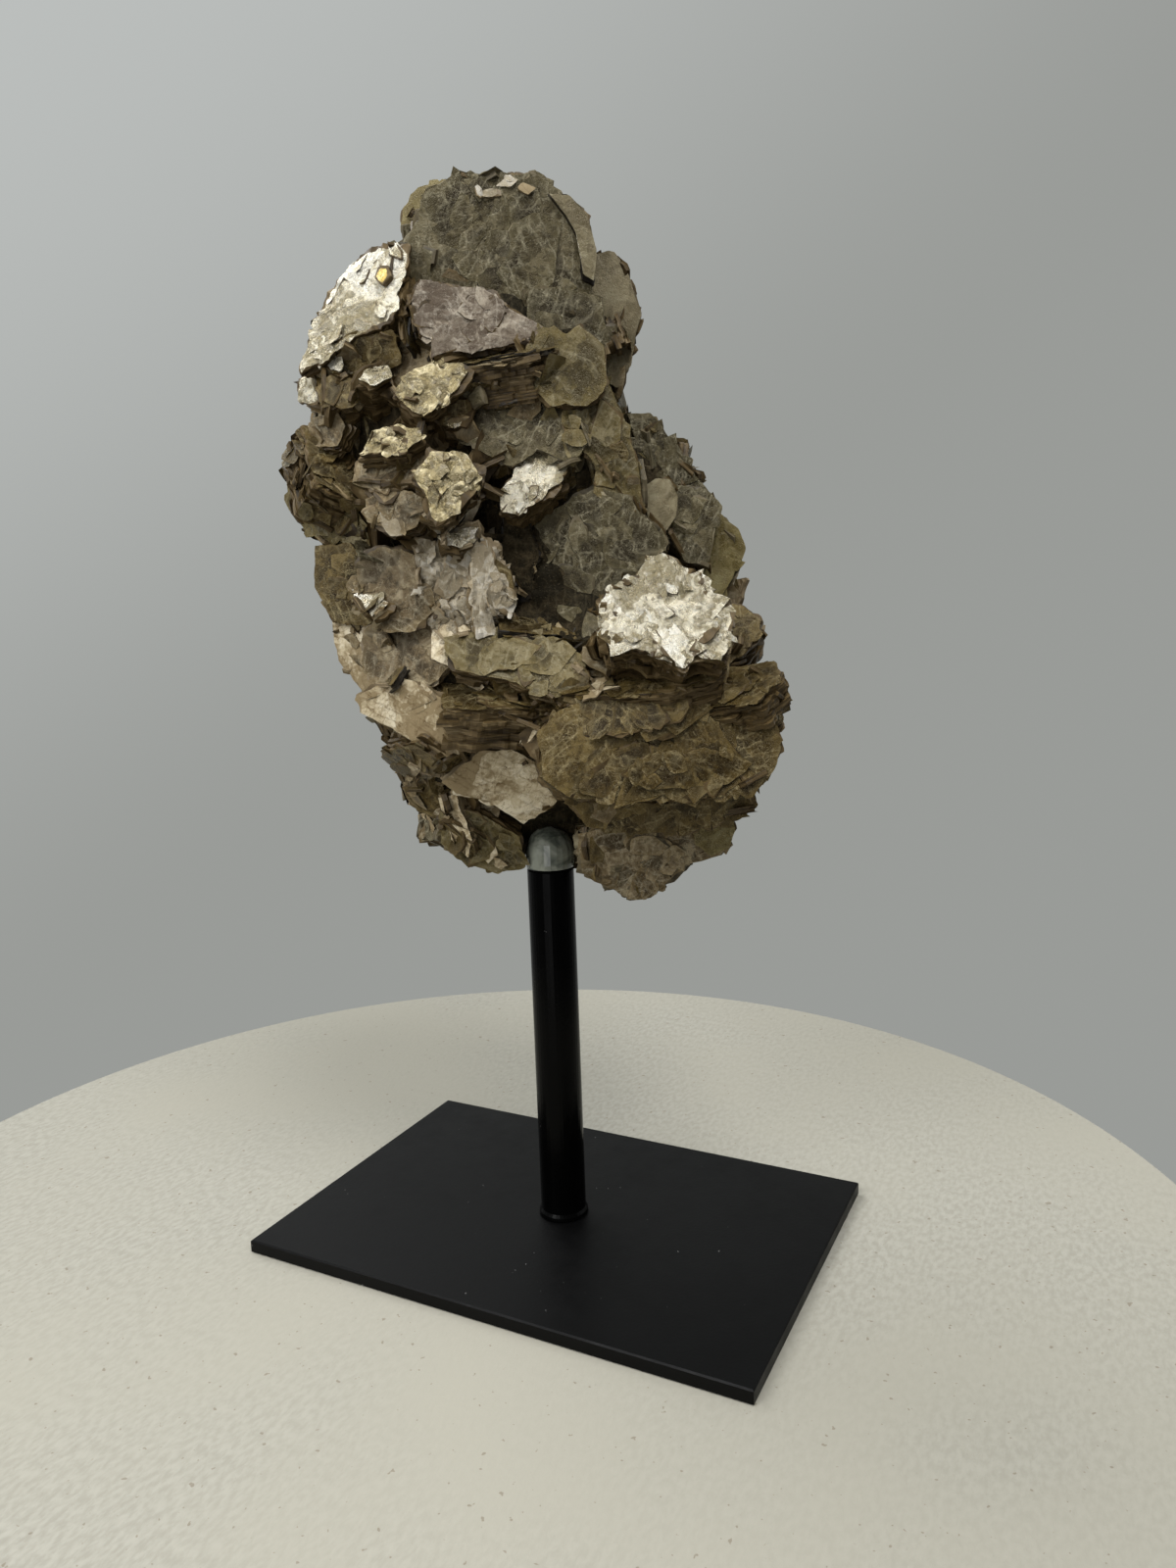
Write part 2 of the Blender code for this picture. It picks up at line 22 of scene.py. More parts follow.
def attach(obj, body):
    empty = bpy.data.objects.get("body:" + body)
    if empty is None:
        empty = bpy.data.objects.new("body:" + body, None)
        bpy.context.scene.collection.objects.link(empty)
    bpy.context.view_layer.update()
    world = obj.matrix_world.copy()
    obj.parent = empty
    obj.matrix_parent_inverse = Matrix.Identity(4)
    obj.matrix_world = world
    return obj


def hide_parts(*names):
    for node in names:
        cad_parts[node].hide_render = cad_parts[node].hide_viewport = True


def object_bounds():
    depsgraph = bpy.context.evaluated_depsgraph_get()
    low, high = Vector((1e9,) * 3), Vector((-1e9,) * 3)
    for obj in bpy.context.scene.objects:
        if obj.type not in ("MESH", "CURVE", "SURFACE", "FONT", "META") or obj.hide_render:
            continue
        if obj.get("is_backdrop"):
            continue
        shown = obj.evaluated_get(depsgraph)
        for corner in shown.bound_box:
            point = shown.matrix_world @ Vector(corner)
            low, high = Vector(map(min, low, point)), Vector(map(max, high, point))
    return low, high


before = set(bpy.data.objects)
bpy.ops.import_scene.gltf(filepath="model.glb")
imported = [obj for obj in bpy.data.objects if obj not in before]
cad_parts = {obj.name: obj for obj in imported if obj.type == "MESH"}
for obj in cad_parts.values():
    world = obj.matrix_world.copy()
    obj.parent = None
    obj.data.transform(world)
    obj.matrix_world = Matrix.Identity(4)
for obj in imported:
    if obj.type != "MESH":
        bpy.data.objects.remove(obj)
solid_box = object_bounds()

MM = 0.001


def show_box(title, box):
    print(title, [[round(c, 4) for c in corner] for corner in box])


print("solids:", sorted(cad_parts))
show_box("their box:", solid_box)

# %% [markdown]
# ## Where we look from
#
# A specimen is looked at from close by with a wide lens, from a little above the middle of
# the crystal, with the stand turned about a third of a right angle. We could aim a camera
# with a Track To constraint, but three angles and a place say the same thing plainly: how
# far round, how far down, and a small lean of the horizon.

# %% The camera
LOOK_FROM = (0.11257, -0.20036, 0.13446)
LOOK_ROUND, LOOK_DOWN, LOOK_LEAN = (math.radians(a) for a in (27.17, 8.6, -1.95))
LENS, SENSOR = 25.18, 36.0  # mm
NEAREST = 0.01              # m; anything closer isn't drawn

camera = bpy.data.objects.new("camera", bpy.data.cameras.new("camera"))
bpy.context.scene.collection.objects.link(camera)
camera.data.lens = LENS
camera.data.sensor_width = SENSOR
camera.data.clip_start = NEAREST
level = math.cos(LOOK_DOWN)
backwards = Vector((math.sin(LOOK_ROUND) * level, -math.cos(LOOK_ROUND) * level, math.sin(LOOK_DOWN)))
upright = backwards.to_track_quat("Z", "Y").to_matrix().to_4x4()
camera.matrix_world = Matrix.Translation(LOOK_FROM) @ upright @ Matrix.Rotation(LOOK_LEAN, 4, "Z")
bpy.context.scene.camera = camera
print("camera", [round(c, 3) for c in camera.location], "lens", LENS, "mm")

# %% [markdown]
# ## Smooth noise for bent and torn sheets
#
# Mica is never quite flat: each sheet ripples, and its edge is torn. Blender's Displace
# modifier could do that, but we want the same noise to bend a sheet, to tear its edge and
# to tell the shader where the torn edge runs. So we make our own: a random number at each
# corner of a grid, blended smoothly between the corners.

# %% Noise at many points at once
CORNER_STEPS = np.array((73856093, 19349663, 83492791))  # large primes, so that no two corners agree
SEED_STEP, STIR = 9973, 1274126177


def grid_noise(points, seed):
    """Smooth noise from -1 to 1 at each row (x, y, z) of points, about one bump per unit."""
    cell = np.floor(points).astype(np.int64)
    share = points - cell
    share = share * share * (3 - 2 * share)
    total = np.zeros(len(points))
    for corner in itertools.product((0, 1), repeat=3):
        mark = (cell + corner) @ CORNER_STEPS + seed * SEED_STEP
        mark = (mark ^ (mark >> 13)) * STIR
        mark = (mark ^ (mark >> 15)) & 0xFFFF
        total += np.prod(np.where(corner, share, 1 - share), axis=1) * (mark / 32767.5 - 1)
    return total


def ripples(points, size, seed, layers=3):
    """Noise whose largest bumps are size across, each further layer half as large."""
    parts = (grid_noise(points / size * 2**k + 17.3 * k, seed + k) / 2**k for k in range(layers))
    return sum(parts)


def creases(points, size, seed):
    """Sharp valleys and rounded ridges, from 0 to 1.5, as in crumpled foil."""
    return np.abs(grid_noise(points / size, seed)) + 0.5 * np.abs(grid_noise(points / size * 2.1, seed + 7))


test_ripples = ripples(np.random.default_rng(1).uniform(0, 50, (2000, 3)), 5, 3)
print("ripples run from %.2f to %.2f" % (test_ripples.min(), test_ripples.max()))

# %% [markdown]
# ## Finishes
#
# Every face of a mica book shows the same few things: a smoky or honey body colour, darker
# and paler where the sheets above are missing, thin whitish curved lines where a sheet has
# come half loose, and a pearly shine. So one recipe builds them all, and each finish gives
# its own colours, roughness and amount of metal. The recipe reads four values that each
# mesh carries: sheet_place, where a point lies in its own book, in centimetres; sheet_tone,
# a different shade for each torn sheet; sheet_crest, which is 1 along a torn edge; and
# sheet_thin, which rises towards the rim, where light comes through.
#
# Nodes could be placed by hand in the shader editor. Small helpers that each add one node
# are quicker to read, and a recipe written with them can be used again for every finish.

# %% Helpers that add one node
def add_node(tree, kind, **values):
    """A node of that kind; a name with an upper-case first letter is an input socket."""
    node = tree.nodes.new("ShaderNode" + kind)
    for name, value in values.items():
        if name[0].isupper():
            node.inputs[name.replace("_", " ")].default_value = value
        else:
            setattr(node, name, value)
    return node


def carried(tree, name, output="Fac"):
    """A value that the mesh carries at its points."""
    return add_node(tree, "Attribute", attribute_name=name).outputs[output]


def math_node(tree, operation, a, b=0.0, clamp=False):
    """One step of arithmetic; a and b are numbers or sockets."""
    node = add_node(tree, "Math", operation=operation, use_clamp=clamp)
    for socket, value in zip(node.inputs, (a, b)):
        if isinstance(value, (int, float)):
            socket.default_value = value
        else:
            tree.links.new(value, socket)
    return node.outputs[0]


def times(tree, a, b):
    return math_node(tree, "MULTIPLY", a, b)


def scaled_sum(tree, *pairs):
    """The sum of value times weight over the pairs."""
    total = 0.0
    for value, weight in pairs:
        total = math_node(tree, "ADD", times(tree, value, weight), total)
    return total


def colour_mix(tree, share, a, b):
    """Colour a where share is 0 and b where it is 1."""
    node = add_node(tree, "Mix", data_type="RGBA")
    for socket, value in zip((node.inputs[0], node.inputs[6], node.inputs[7]), (share, a, b)):
        if isinstance(value, tuple):
            socket.default_value = (*value, 1.0)
        else:
            tree.links.new(value, socket)
    return node.outputs[2]


def speckle(tree, where, scale, detail=4.0, distortion=0.0, roughness=0.55):
    """Cloudy noise from 0 to 1, with about scale clouds to the unit."""
    node = add_node(tree, "TexNoise", Scale=scale, Detail=detail, Distortion=distortion, Roughness=roughness)
    tree.links.new(where, node.inputs["Vector"])
    return node.outputs["Fac"]


def between(tree, value, low, high):
    """0 where value is at low, 1 at high, and a smooth rise between; low may be the larger one."""
    node = add_node(tree, "MapRange", interpolation_type="SMOOTHSTEP", From_Min=low, From_Max=high)
    tree.links.new(value, node.inputs["Value"])
    return node.outputs["Result"]


def stretched(tree, where, scale):
    node = add_node(tree, "Mapping", vector_type="POINT", Scale=scale)
    tree.links.new(where, node.inputs["Vector"])
    return node.outputs["Vector"]


print("node helpers for Blender", bpy.app.version_string)

# %% [markdown]
# Every finish starts as a Principled shader and ends the same way: a colour, a roughness
# that wanders a little, and a fine relief that catches the light. These few helpers make
# those ends. What is the same all over a surface is set on the shader's own sockets.

# %% Helpers that finish a material
def new_finish(name, **same_all_over):
    """A material, its node tree and its shader, with the shader's plain values set."""
    material = bpy.data.materials.new(name)
    material.use_nodes = True
    shader = material.node_tree.nodes["Principled BSDF"]
    for socket, value in same_all_over.items():
        shader.inputs[socket.replace("_", " ")].default_value = value
    return material, material.node_tree, shader


def set_colour(tree, shader, colour):
    tree.links.new(colour, shader.inputs["Base Color"])


def vary_roughness(tree, shader, value, low, high):
    """Roughness from low to high while value goes from 0.3 to 0.7, the range that noise fills."""
    spread = add_node(tree, "MapRange", From_Min=0.3, From_Max=0.7, To_Min=low, To_Max=high)
    tree.links.new(value, spread.inputs["Value"])
    tree.links.new(spread.outputs["Result"], shader.inputs["Roughness"])


def set_relief(tree, shader, height, strength, depth):
    """Fine relief, depth metres deep, from the height value."""
    bump = add_node(tree, "Bump", Strength=strength, Distance=depth)
    tree.links.new(height, bump.inputs["Height"])
    tree.links.new(bump.outputs["Normal"], shader.inputs["Normal"])


def object_place(tree):
    return add_node(tree, "TexCoord").outputs["Object"]


FINISH_HELPERS = (new_finish, set_colour, vary_roughness, set_relief, object_place)
print("finish helpers:", ", ".join(helper.__name__ for helper in FINISH_HELPERS))

# %% [markdown]
# A mica face is a mosaic: each torn sheet has a shade of its own, and where two of them meet
# there is a fine pale line. Voronoi cells give exactly that, once their straight borders are
# shaken by noise. Over them lie bundles of whitish threads, the curled edges of sheets too
# thin to see. A twisted noise crosses its middle value along just such curves.

# %% Mosaic, threads and arcs
def ragged(tree, where, amount, scale):
    """The same places, shaken a little, so that straight borders become torn ones."""
    shake = add_node(tree, "TexNoise", Scale=scale, Detail=4.0)
    tree.links.new(where, shake.inputs["Vector"])
    move = add_node(tree, "VectorMath", operation="MULTIPLY_ADD")
    move.inputs[1].default_value = (amount,) * 3
    tree.links.new(shake.outputs["Color"], move.inputs[0])
    tree.links.new(where, move.inputs[2])
    return move.outputs["Vector"]


def torn_sheets(tree, where, scale):
    """A random shade for each sheet of a mosaic, and a thin line where two sheets meet."""
    cell = add_node(tree, "TexVoronoi", Scale=scale)
    tree.links.new(where, cell.inputs["Vector"])
    shade = add_node(tree, "SeparateXYZ")
    tree.links.new(cell.outputs["Color"], shade.inputs[0])
    border = add_node(tree, "TexVoronoi", Scale=scale, feature="DISTANCE_TO_EDGE")
    tree.links.new(where, border.inputs["Vector"])
    inside = between(tree, border.outputs["Distance"], 0.0, 0.045 * scale**0.5)
    seam = math_node(tree, "SUBTRACT", 1.0, inside)
    return math_node(tree, "SUBTRACT", shade.outputs["X"], 0.5), seam


def threads_of(tree, where, scale, width):
    """Fine curved threads: the lines along which a twisted noise crosses its middle value."""
    value = speckle(tree, where, scale, 1.5, 1.4)
    off = math_node(tree, "ABSOLUTE", math_node(tree, "SUBTRACT", value, 0.5))
    bundle = between(tree, speckle(tree, where, 0.55 * scale + 1.7, 2.0), 0.46, 0.56)
    return times(tree, math_node(tree, "SUBTRACT", 1.0, between(tree, off, 0.0, width)), bundle)


def arcs(tree, where, scale):
    """Long thin curved lines, each the edge of a sheet that ends there."""
    wave = add_node(tree, "TexWave", Scale=scale, Distortion=9.0, Detail=3.0, Detail_Scale=0.8)
    tree.links.new(where, wave.inputs["Vector"])
    return between(tree, wave.outputs["Fac"], 0.86, 0.97)


print("marks to draw with:", ", ".join(mark.__name__ for mark in (torn_sheets, threads_of, arcs)))

# %% [markdown]
# The recipe puts these together. Shade decides between three body colours. Pale marks, which
# are threads, seams, arcs, torn crests and small crumbs, lie over them, and dark pits lie
# between. The crumbs are partly painted glints: pale specks that stand for small sparkles of
# light. The relief follows the marks, and the roughness follows the mosaic, so that one
# sheet shines where its neighbour is dull. The gloss is weak and warm: a strong one would
# mirror the grey room and turn every brown sheet blue-grey.

# %% The recipe for the face of a mica book
LARGE_SHEETS, SMALL_SHEETS = 1.6, 4.5      # sheets to the centimetre in the two mosaics
DEEP_TO_BODY, BODY_TO_PALE = (0.42, 0.58), (0.56, 0.74)
FINE_RELIEF, FOIL_RELIEF = 0.0003, 0.0005  # m; crumpled foil is deeper
FOIL_GLINT = 0.9                           # from here on a face counts as foil
MICA_IOR, COAT_ROUGH = 1.58, 0.22
WARM_GLOSS = (1.0, 0.88, 0.66, 1.0)


def pale_marks(tree, where, seams, lines, fleck):
    """Curled edges, seams, arcs, and crumbs that are partly painted glints, from 0 to 1."""
    veil = between(tree, speckle(tree, where, 1.9, 3.0), 0.42, 0.58)
    veil = scaled_sum(tree, (veil, 0.85), (0.15, 1.0))
    long_curls, short_curls = threads_of(tree, where, 5.0, 0.024), threads_of(tree, where, 11.0, 0.05)
    curls = scaled_sum(tree, (long_curls, 0.7), (short_curls, 0.6))
    threads = scaled_sum(tree, (curls, 1.0), (seams, 1.0), (arcs(tree, where, 1.5), 0.4))
    # Painted glints: the crumbs are pale specks, partly crumbs of mica and partly sparkles of light.
    crumbs_and_glints = scaled_sum(tree, (between(tree, speckle(tree, where, 30.0, 3.0), 0.58, 0.72), fleck),
                        (between(tree, speckle(tree, where, 12.0, 4.0, 0.6), 0.6, 0.7), 1.3 * fleck))
    return math_node(tree, "MAXIMUM", times(tree, times(tree, threads, veil), lines), crumbs_and_glints)


def dark_pits(tree, where):
    """Long small pits, where a low noise gives the most."""
    return between(tree, speckle(tree, stretched(tree, where, (1.0, 2.2, 1.0)), 9.0, 4.0, 0.8), 0.44, 0.36)


def sheet_finish(name, deep, body, pale, line, rough, metal=0.0, coat=0.0, lines=0.5, glint=0.6,
                 through=0.0, thin_rim_light=None, fleck=0.3, gloss=0.22):
    """The face of a book: colours from deep to pale, loose edges in line, and its shine."""
    material, tree, shader = new_finish(
        name, Metallic=metal, IOR=MICA_IOR, Specular_IOR_Level=gloss, Specular_Tint=WARM_GLOSS,
        Coat_Weight=coat, Coat_Roughness=COAT_ROUGH, Transmission_Weight=through,
    )
    where = carried(tree, "sheet_place", "Vector")
    torn_where = ragged(tree, where, 0.16, 5.0)
    large_tone, large_seam = torn_sheets(tree, torn_where, LARGE_SHEETS)
    small_tone, small_seam = torn_sheets(tree, torn_where, SMALL_SHEETS)
    broad_cloud, fine_cloud = speckle(tree, where, 1.3, 5.0, 0.5), speckle(tree, where, 7.0, 6.0, 0.8)
    cloud = scaled_sum(tree, (broad_cloud, 0.45), (fine_cloud, 0.55))
    own_tone = carried(tree, "sheet_tone")
    shade = scaled_sum(tree, (cloud, 1.0), (own_tone, 0.3), (large_tone, 0.24), (small_tone, 0.17))
    colour = colour_mix(tree, between(tree, shade, *DEEP_TO_BODY), deep, body)
    colour = colour_mix(tree, between(tree, shade, *BODY_TO_PALE), colour, pale)
    colour = colour_mix(tree, times(tree, dark_pits(tree, where), 0.6), colour, deep)
    # Painted light: towards the thin rim the colour turns paler, standing for light that comes through a thin
    # sheet.
    if thin_rim_light:
        colour = colour_mix(tree, times(tree, carried(tree, "sheet_thin"), 0.4), colour, thin_rim_light)
    seams = scaled_sum(tree, (large_seam, 0.3), (small_seam, 0.25))
    crest = times(tree, carried(tree, "sheet_crest"), 0.35)
    marks = math_node(tree, "MAXIMUM", pale_marks(tree, where, seams, lines, fleck), crest, clamp=True)
    set_colour(tree, shader, colour_mix(tree, marks, colour, line))
    grain = speckle(tree, where, 38.0, 4.0)
    vary_roughness(tree, shader, scaled_sum(tree, (grain, 0.5), (small_tone, 0.3), (cloud, 0.5)), *rough)
    height = scaled_sum(tree, (marks, 0.5), (grain, 0.9), (small_tone, 0.35), (large_tone, 0.35))
    set_relief(tree, shader, height, glint, FINE_RELIEF if glint < FOIL_GLINT else FOIL_RELIEF)
    return material


print("mosaic sheets are about", round(10 / LARGE_SHEETS, 1), "and", round(10 / SMALL_SHEETS, 1), "mm across")

# %% [markdown]
# The dull faces run from smoky grey-brown over umber, olive and tan to pale cream, with a
# rosy one and a white powdery crust. Each gives four colours: deep, body, pale and line. The
# cream one has dark lines, since its pale surface is scratched down to the brown below.

# %% Dull faces
smoky = sheet_finish(
    "smoky_mica", (0.014, 0.01, 0.004), (0.047, 0.037, 0.017), (0.125, 0.104, 0.058), (0.31, 0.28, 0.19),
    (0.2, 0.45), lines=0.8, thin_rim_light=(0.13, 0.11, 0.055),
)
umber = sheet_finish(
    "umber_mica", (0.013, 0.007, 0.001), (0.042, 0.026, 0.006), (0.125, 0.088, 0.03), (0.3, 0.245, 0.13),
    (0.2, 0.45), lines=0.75, thin_rim_light=(0.15, 0.105, 0.036),
)
olive = sheet_finish(
    "olive_mica", (0.026, 0.018, 0.004), (0.084, 0.063, 0.02), (0.184, 0.153, 0.082), (0.331, 0.295, 0.194),
    (0.22, 0.45), lines=0.6, thin_rim_light=(0.22, 0.17, 0.07),
)
tan = sheet_finish(
    "tan_mica", (0.03, 0.019, 0.008), (0.12, 0.086, 0.045), (0.28, 0.23, 0.142), (0.44, 0.39, 0.275),
    (0.28, 0.5), lines=0.6, thin_rim_light=(0.26, 0.19, 0.09),
)
rose = sheet_finish(
    "rose_mica", (0.08, 0.058, 0.042), (0.165, 0.133, 0.1), (0.33, 0.285, 0.22), (0.5, 0.45, 0.37),
    (0.32, 0.6), lines=0.7, glint=0.6,
)
cream = sheet_finish(
    "cream_mica", (0.28, 0.215, 0.12), (0.55, 0.465, 0.31), (0.72, 0.645, 0.48), (0.123, 0.078, 0.034),
    (0.4, 0.7), lines=0.8, glint=0.25, fleck=0.1,
)
crust = sheet_finish(
    "white_crust", (0.246, 0.205, 0.135), (0.41, 0.361, 0.271), (0.541, 0.508, 0.435), (0.59, 0.558, 0.492),
    (0.5, 0.8), lines=0.15, glint=0.6,
)
# Partly painted shade: this near-black finish darkens the hollows and the core between the books, where shade
# falls.
rubble_and_shade = sheet_finish(
    "rubble_painted_shade", (0.005, 0.004, 0.002), (0.022, 0.016, 0.008), (0.06, 0.046, 0.026), (0.14, 0.115, 0.07),
    (0.5, 0.8), lines=0.3, glint=0.8, gloss=0.1,
)
print("dull faces:", *(finish.name for finish in (smoky, umber, olive, tan, rose, cream, crust, rubble_and_shade)))

# %% [markdown]
# Where a face happens to lie towards the light it flashes like foil. That isn't a different
# mineral, only a clean sheet seen at the angle of its reflection, but the eye reads it as
# metal. A metallic surface with a crumpled bump gives the glints from the lamps, and its pale
# body colour is painted highlight, so it stays bright from other sides too. The clear and
# honey finishes are for single sheets that stand free: they let some of the light behind them
# through.

# %% Bright and clear faces
# Painted highlight: the pale colours of the silver, gilt and golden gleam faces stand for a mica sheet
# flashing at its mirror angle.
silver = sheet_finish(
    "silver_flash_mica", (0.36, 0.31, 0.19), (0.86, 0.8, 0.63), (0.97, 0.94, 0.83), (0.95, 0.92, 0.82),
    (0.16, 0.42), metal=0.6, coat=0.3, lines=0.3, glint=1.0, gloss=0.5,
)
gilt = sheet_finish(
    "gilt_flash_mica", (0.09, 0.068, 0.026), (0.26, 0.21, 0.1), (0.6, 0.52, 0.32), (0.75, 0.68, 0.48),
    (0.2, 0.42), metal=0.45, coat=0.2, lines=0.4, glint=0.6, gloss=0.5,
)
gleam = sheet_finish(
    "golden_gleam", (0.7, 0.5, 0.12), (0.95, 0.75, 0.25), (0.97, 0.92, 0.65), (0.97, 0.93, 0.8),
    (0.16, 0.4), metal=0.6, coat=0.3, lines=0.3, glint=1.0, gloss=0.5,
)
clear = sheet_finish(
    "clear_mica", (0.13, 0.105, 0.055), (0.22, 0.185, 0.105), (0.32, 0.28, 0.175), (0.45, 0.4, 0.28),
    (0.3, 0.5), lines=0.3, coat=0.1, through=0.3,
)
honey = sheet_finish(
    "honey_mica", (0.11, 0.082, 0.024), (0.19, 0.15, 0.055), (0.29, 0.245, 0.11), (0.42, 0.37, 0.22),
    (0.25, 0.45), lines=0.35, through=0.3, thin_rim_light=(0.34, 0.28, 0.12),
)
print("bright and clear faces:", *(finish.name for finish in (silver, gilt, gleam, clear, honey)))

# %% [markdown]
# The side of a book shows the edges of its pages: fine stripes, dark where light is caught
# between the sheets and tan where a sheet edge stands out. The place that each mesh carries
# has its third number along the stack, so noise squeezed hard that way draws the stripes.

# %% The edges of the pages
PAGE_ROUGH, PAGE_GLOSS = 0.45, 0.25


def page_finish(name, dark, mid, bright):
    """The side of a book, from the dark gaps to the bright sheet edges."""
    material, tree, shader = new_finish(name, Roughness=PAGE_ROUGH, Specular_IOR_Level=PAGE_GLOSS)
    where = carried(tree, "sheet_place", "Vector")
    fine = speckle(tree, stretched(tree, where, (1.2, 1.2, 26.0)), 1.0, 5.0, 0.1, 0.7)
    broad = speckle(tree, stretched(tree, where, (0.8, 0.8, 7.0)), 1.0, 3.0)
    stripes = math_node(tree, "ADD", times(tree, fine, 0.65), times(tree, broad, 0.35))
    colour = colour_mix(tree, between(tree, stripes, 0.36, 0.56), dark, mid)
    set_colour(tree, shader, colour_mix(tree, between(tree, stripes, 0.53, 0.68), colour, bright))
    set_relief(tree, shader, stripes, 0.6, 0.0005)
    return material


brown_pages = page_finish("brown_pages", (0.02, 0.012, 0.004), (0.1, 0.067, 0.027), (0.3, 0.23, 0.125))
grey_pages = page_finish("grey_pages", (0.03, 0.024, 0.012), (0.13, 0.105, 0.06), (0.32, 0.28, 0.18))
pale_pages = page_finish("pale_pages", (0.1, 0.07, 0.033), (0.27, 0.21, 0.125), (0.46, 0.39, 0.27))
# Painted shade: these near-black page edges sit in cracks and hollows and along a rim, where shade falls.
shade_pages = page_finish("shade_pages", (0.004, 0.003, 0.002), (0.02, 0.015, 0.009), (0.13, 0.11, 0.075))
print("pages:", *(finish.name for finish in (brown_pages, grey_pages, pale_pages, shade_pages)))

# %% [markdown]
# ## Building a book of sheets
#
# A book is a stack of torn sheets. Seen square on it has an outline, given here as a few
# corners in millimetres; seen from the side it is a pile of page edges, each torn a little
# differently. A stack of scaled copies of the outline would do, but it would look machined.
# So each book is one skin of rings: rings that grow from the middle of the face to its rim,
# then rings that step in and out down the side, page by page. One closed skin means there
# is never a stray face.
#
# The specimen has a frame of its own, turned about the post so that its broad side faces
# the viewer: right, away and up. Each kind of mica also has its habit: how often its face is
# torn and how high the steps are, how much it swells, crumples and grains, how ragged its
# rim is, and how many loose scraps lie on it, how small they are and how far they tilt.

# %% What describes a book
Book = namedtuple("Book", "name face pages at facing thick outline bend", defaults=((0.0, 0.0),))
Habit = namedtuple("Habit", "tears step swell crumple fine ragged scales smallest tilt")

SPECIMEN_TURN = math.radians(27.2)
PAGE = 0.5          # mm, a bundle of sheets thick enough to show as one edge
RIM_STEP = 0.62     # mm between points along a rim
RIM_POINTS = 9, 170  # the fewest and the most
CALM_RADIUS = 7.0   # mm; a smaller sheet ripples less
HABITS = {
    "smoky_mica": Habit(0.012, 0.09, 0.3, 0.03, 0.02, 0.55, 0.05, 2.0, 0.02),
    "umber_mica": Habit(0.014, 0.1, 0.4, 0.06, 0.03, 0.6, 0.07, 1.7, 0.05),
    "olive_mica": Habit(0.012, 0.1, 0.35, 0.05, 0.03, 0.6, 0.06, 1.8, 0.04),
    "tan_mica": Habit(0.014, 0.12, 0.4, 0.08, 0.04, 0.7, 0.06, 1.8, 0.06),
    "rose_mica": Habit(0.02, 0.22, 0.4, 0.35, 0.12, 0.6, 0.03, 1.6, 0.06),
    "cream_mica": Habit(0.01, 0.1, 0.25, 0.04, 0.03, 0.6, 0.02, 2.2, 0.02),
    "white_crust": Habit(0.0, 0.0, 0.9, 0.9, 0.25, 1.0, 0.2, 0.8, 0.45),
    "silver_flash_mica": Habit(0.02, 0.2, 0.6, 0.8, 0.2, 0.9, 0.06, 0.7, 0.2),
    "gilt_flash_mica": Habit(0.02, 0.2, 0.6, 0.6, 0.15, 0.8, 0.14, 0.8, 0.15),
    "honey_mica": Habit(0.01, 0.08, 0.4, 0.04, 0.02, 0.5, 0.03, 2.0, 0.04),
    "golden_gleam": Habit(0.0, 0.0, 0.3, 0.4, 0.15, 0.8, 0.0, 0.7, 0.2),
    "rubble_painted_shade": Habit(0.0, 0.0, 0.6, 0.5, 0.2, 0.9, 0.1, 1.2, 0.3),
    "clear_mica": Habit(0.008, 0.07, 0.35, 0.02, 0.015, 0.3, 0.0, 2.0, 0.03),
}
print(len(HABITS), "habits, the tears being so many for each square millimetre of face")

# %% [markdown]
# The rim is walked at an even step, so that a long side gets as many points as it needs.
# The tears are arcs: each one lifts everything on one side of a wandering circle by a
# fraction of a millimetre, gives it a shade of its own, and marks the line itself.

# %% The rim and the face
def walk_rim(outline, step):
    """Points at an even step round the outline, anticlockwise seen from outside."""
    corners = np.array(outline, float)
    ahead = np.roll(corners, -1, axis=0)
    if np.sum(corners[:, 0] * ahead[:, 1] - ahead[:, 0] * corners[:, 1]) < 0:
        corners = corners[::-1]
        ahead = np.roll(corners, -1, axis=0)
    lengths = np.linalg.norm(ahead - corners, axis=1)
    ends = np.concatenate(([0.0], np.cumsum(lengths)))
    count = int(np.clip(ends[-1] / step, *RIM_POINTS))
    along = np.arange(count) * ends[-1] / count
    side = np.searchsorted(ends, along, side="right") - 1
    share = ((along - ends[side]) / lengths[side])[:, None]
    return corners[side] * (1 - share) + ahead[side] * share


def torn(rim, ragged, seed, scale=1.0):
    """The rim torn in and out; teeth are sharper than the long waves."""
    flat = np.column_stack((rim, np.full(len(rim), seed * 3.7)))
    wave = 0.8 * grid_noise(flat / 3.2, seed) + 0.5 * grid_noise(flat / 1.1, seed + 1)
    tooth = -1.6 * np.maximum(grid_noise(flat / 1.9, seed + 2) - 0.45, 0)
    reach = np.linalg.norm(rim, axis=1)
    change = ragged * np.minimum(1, reach / 3.0) * (wave + tooth) / reach
    return rim * np.maximum(0.3, scale * (1 + change))[:, None]


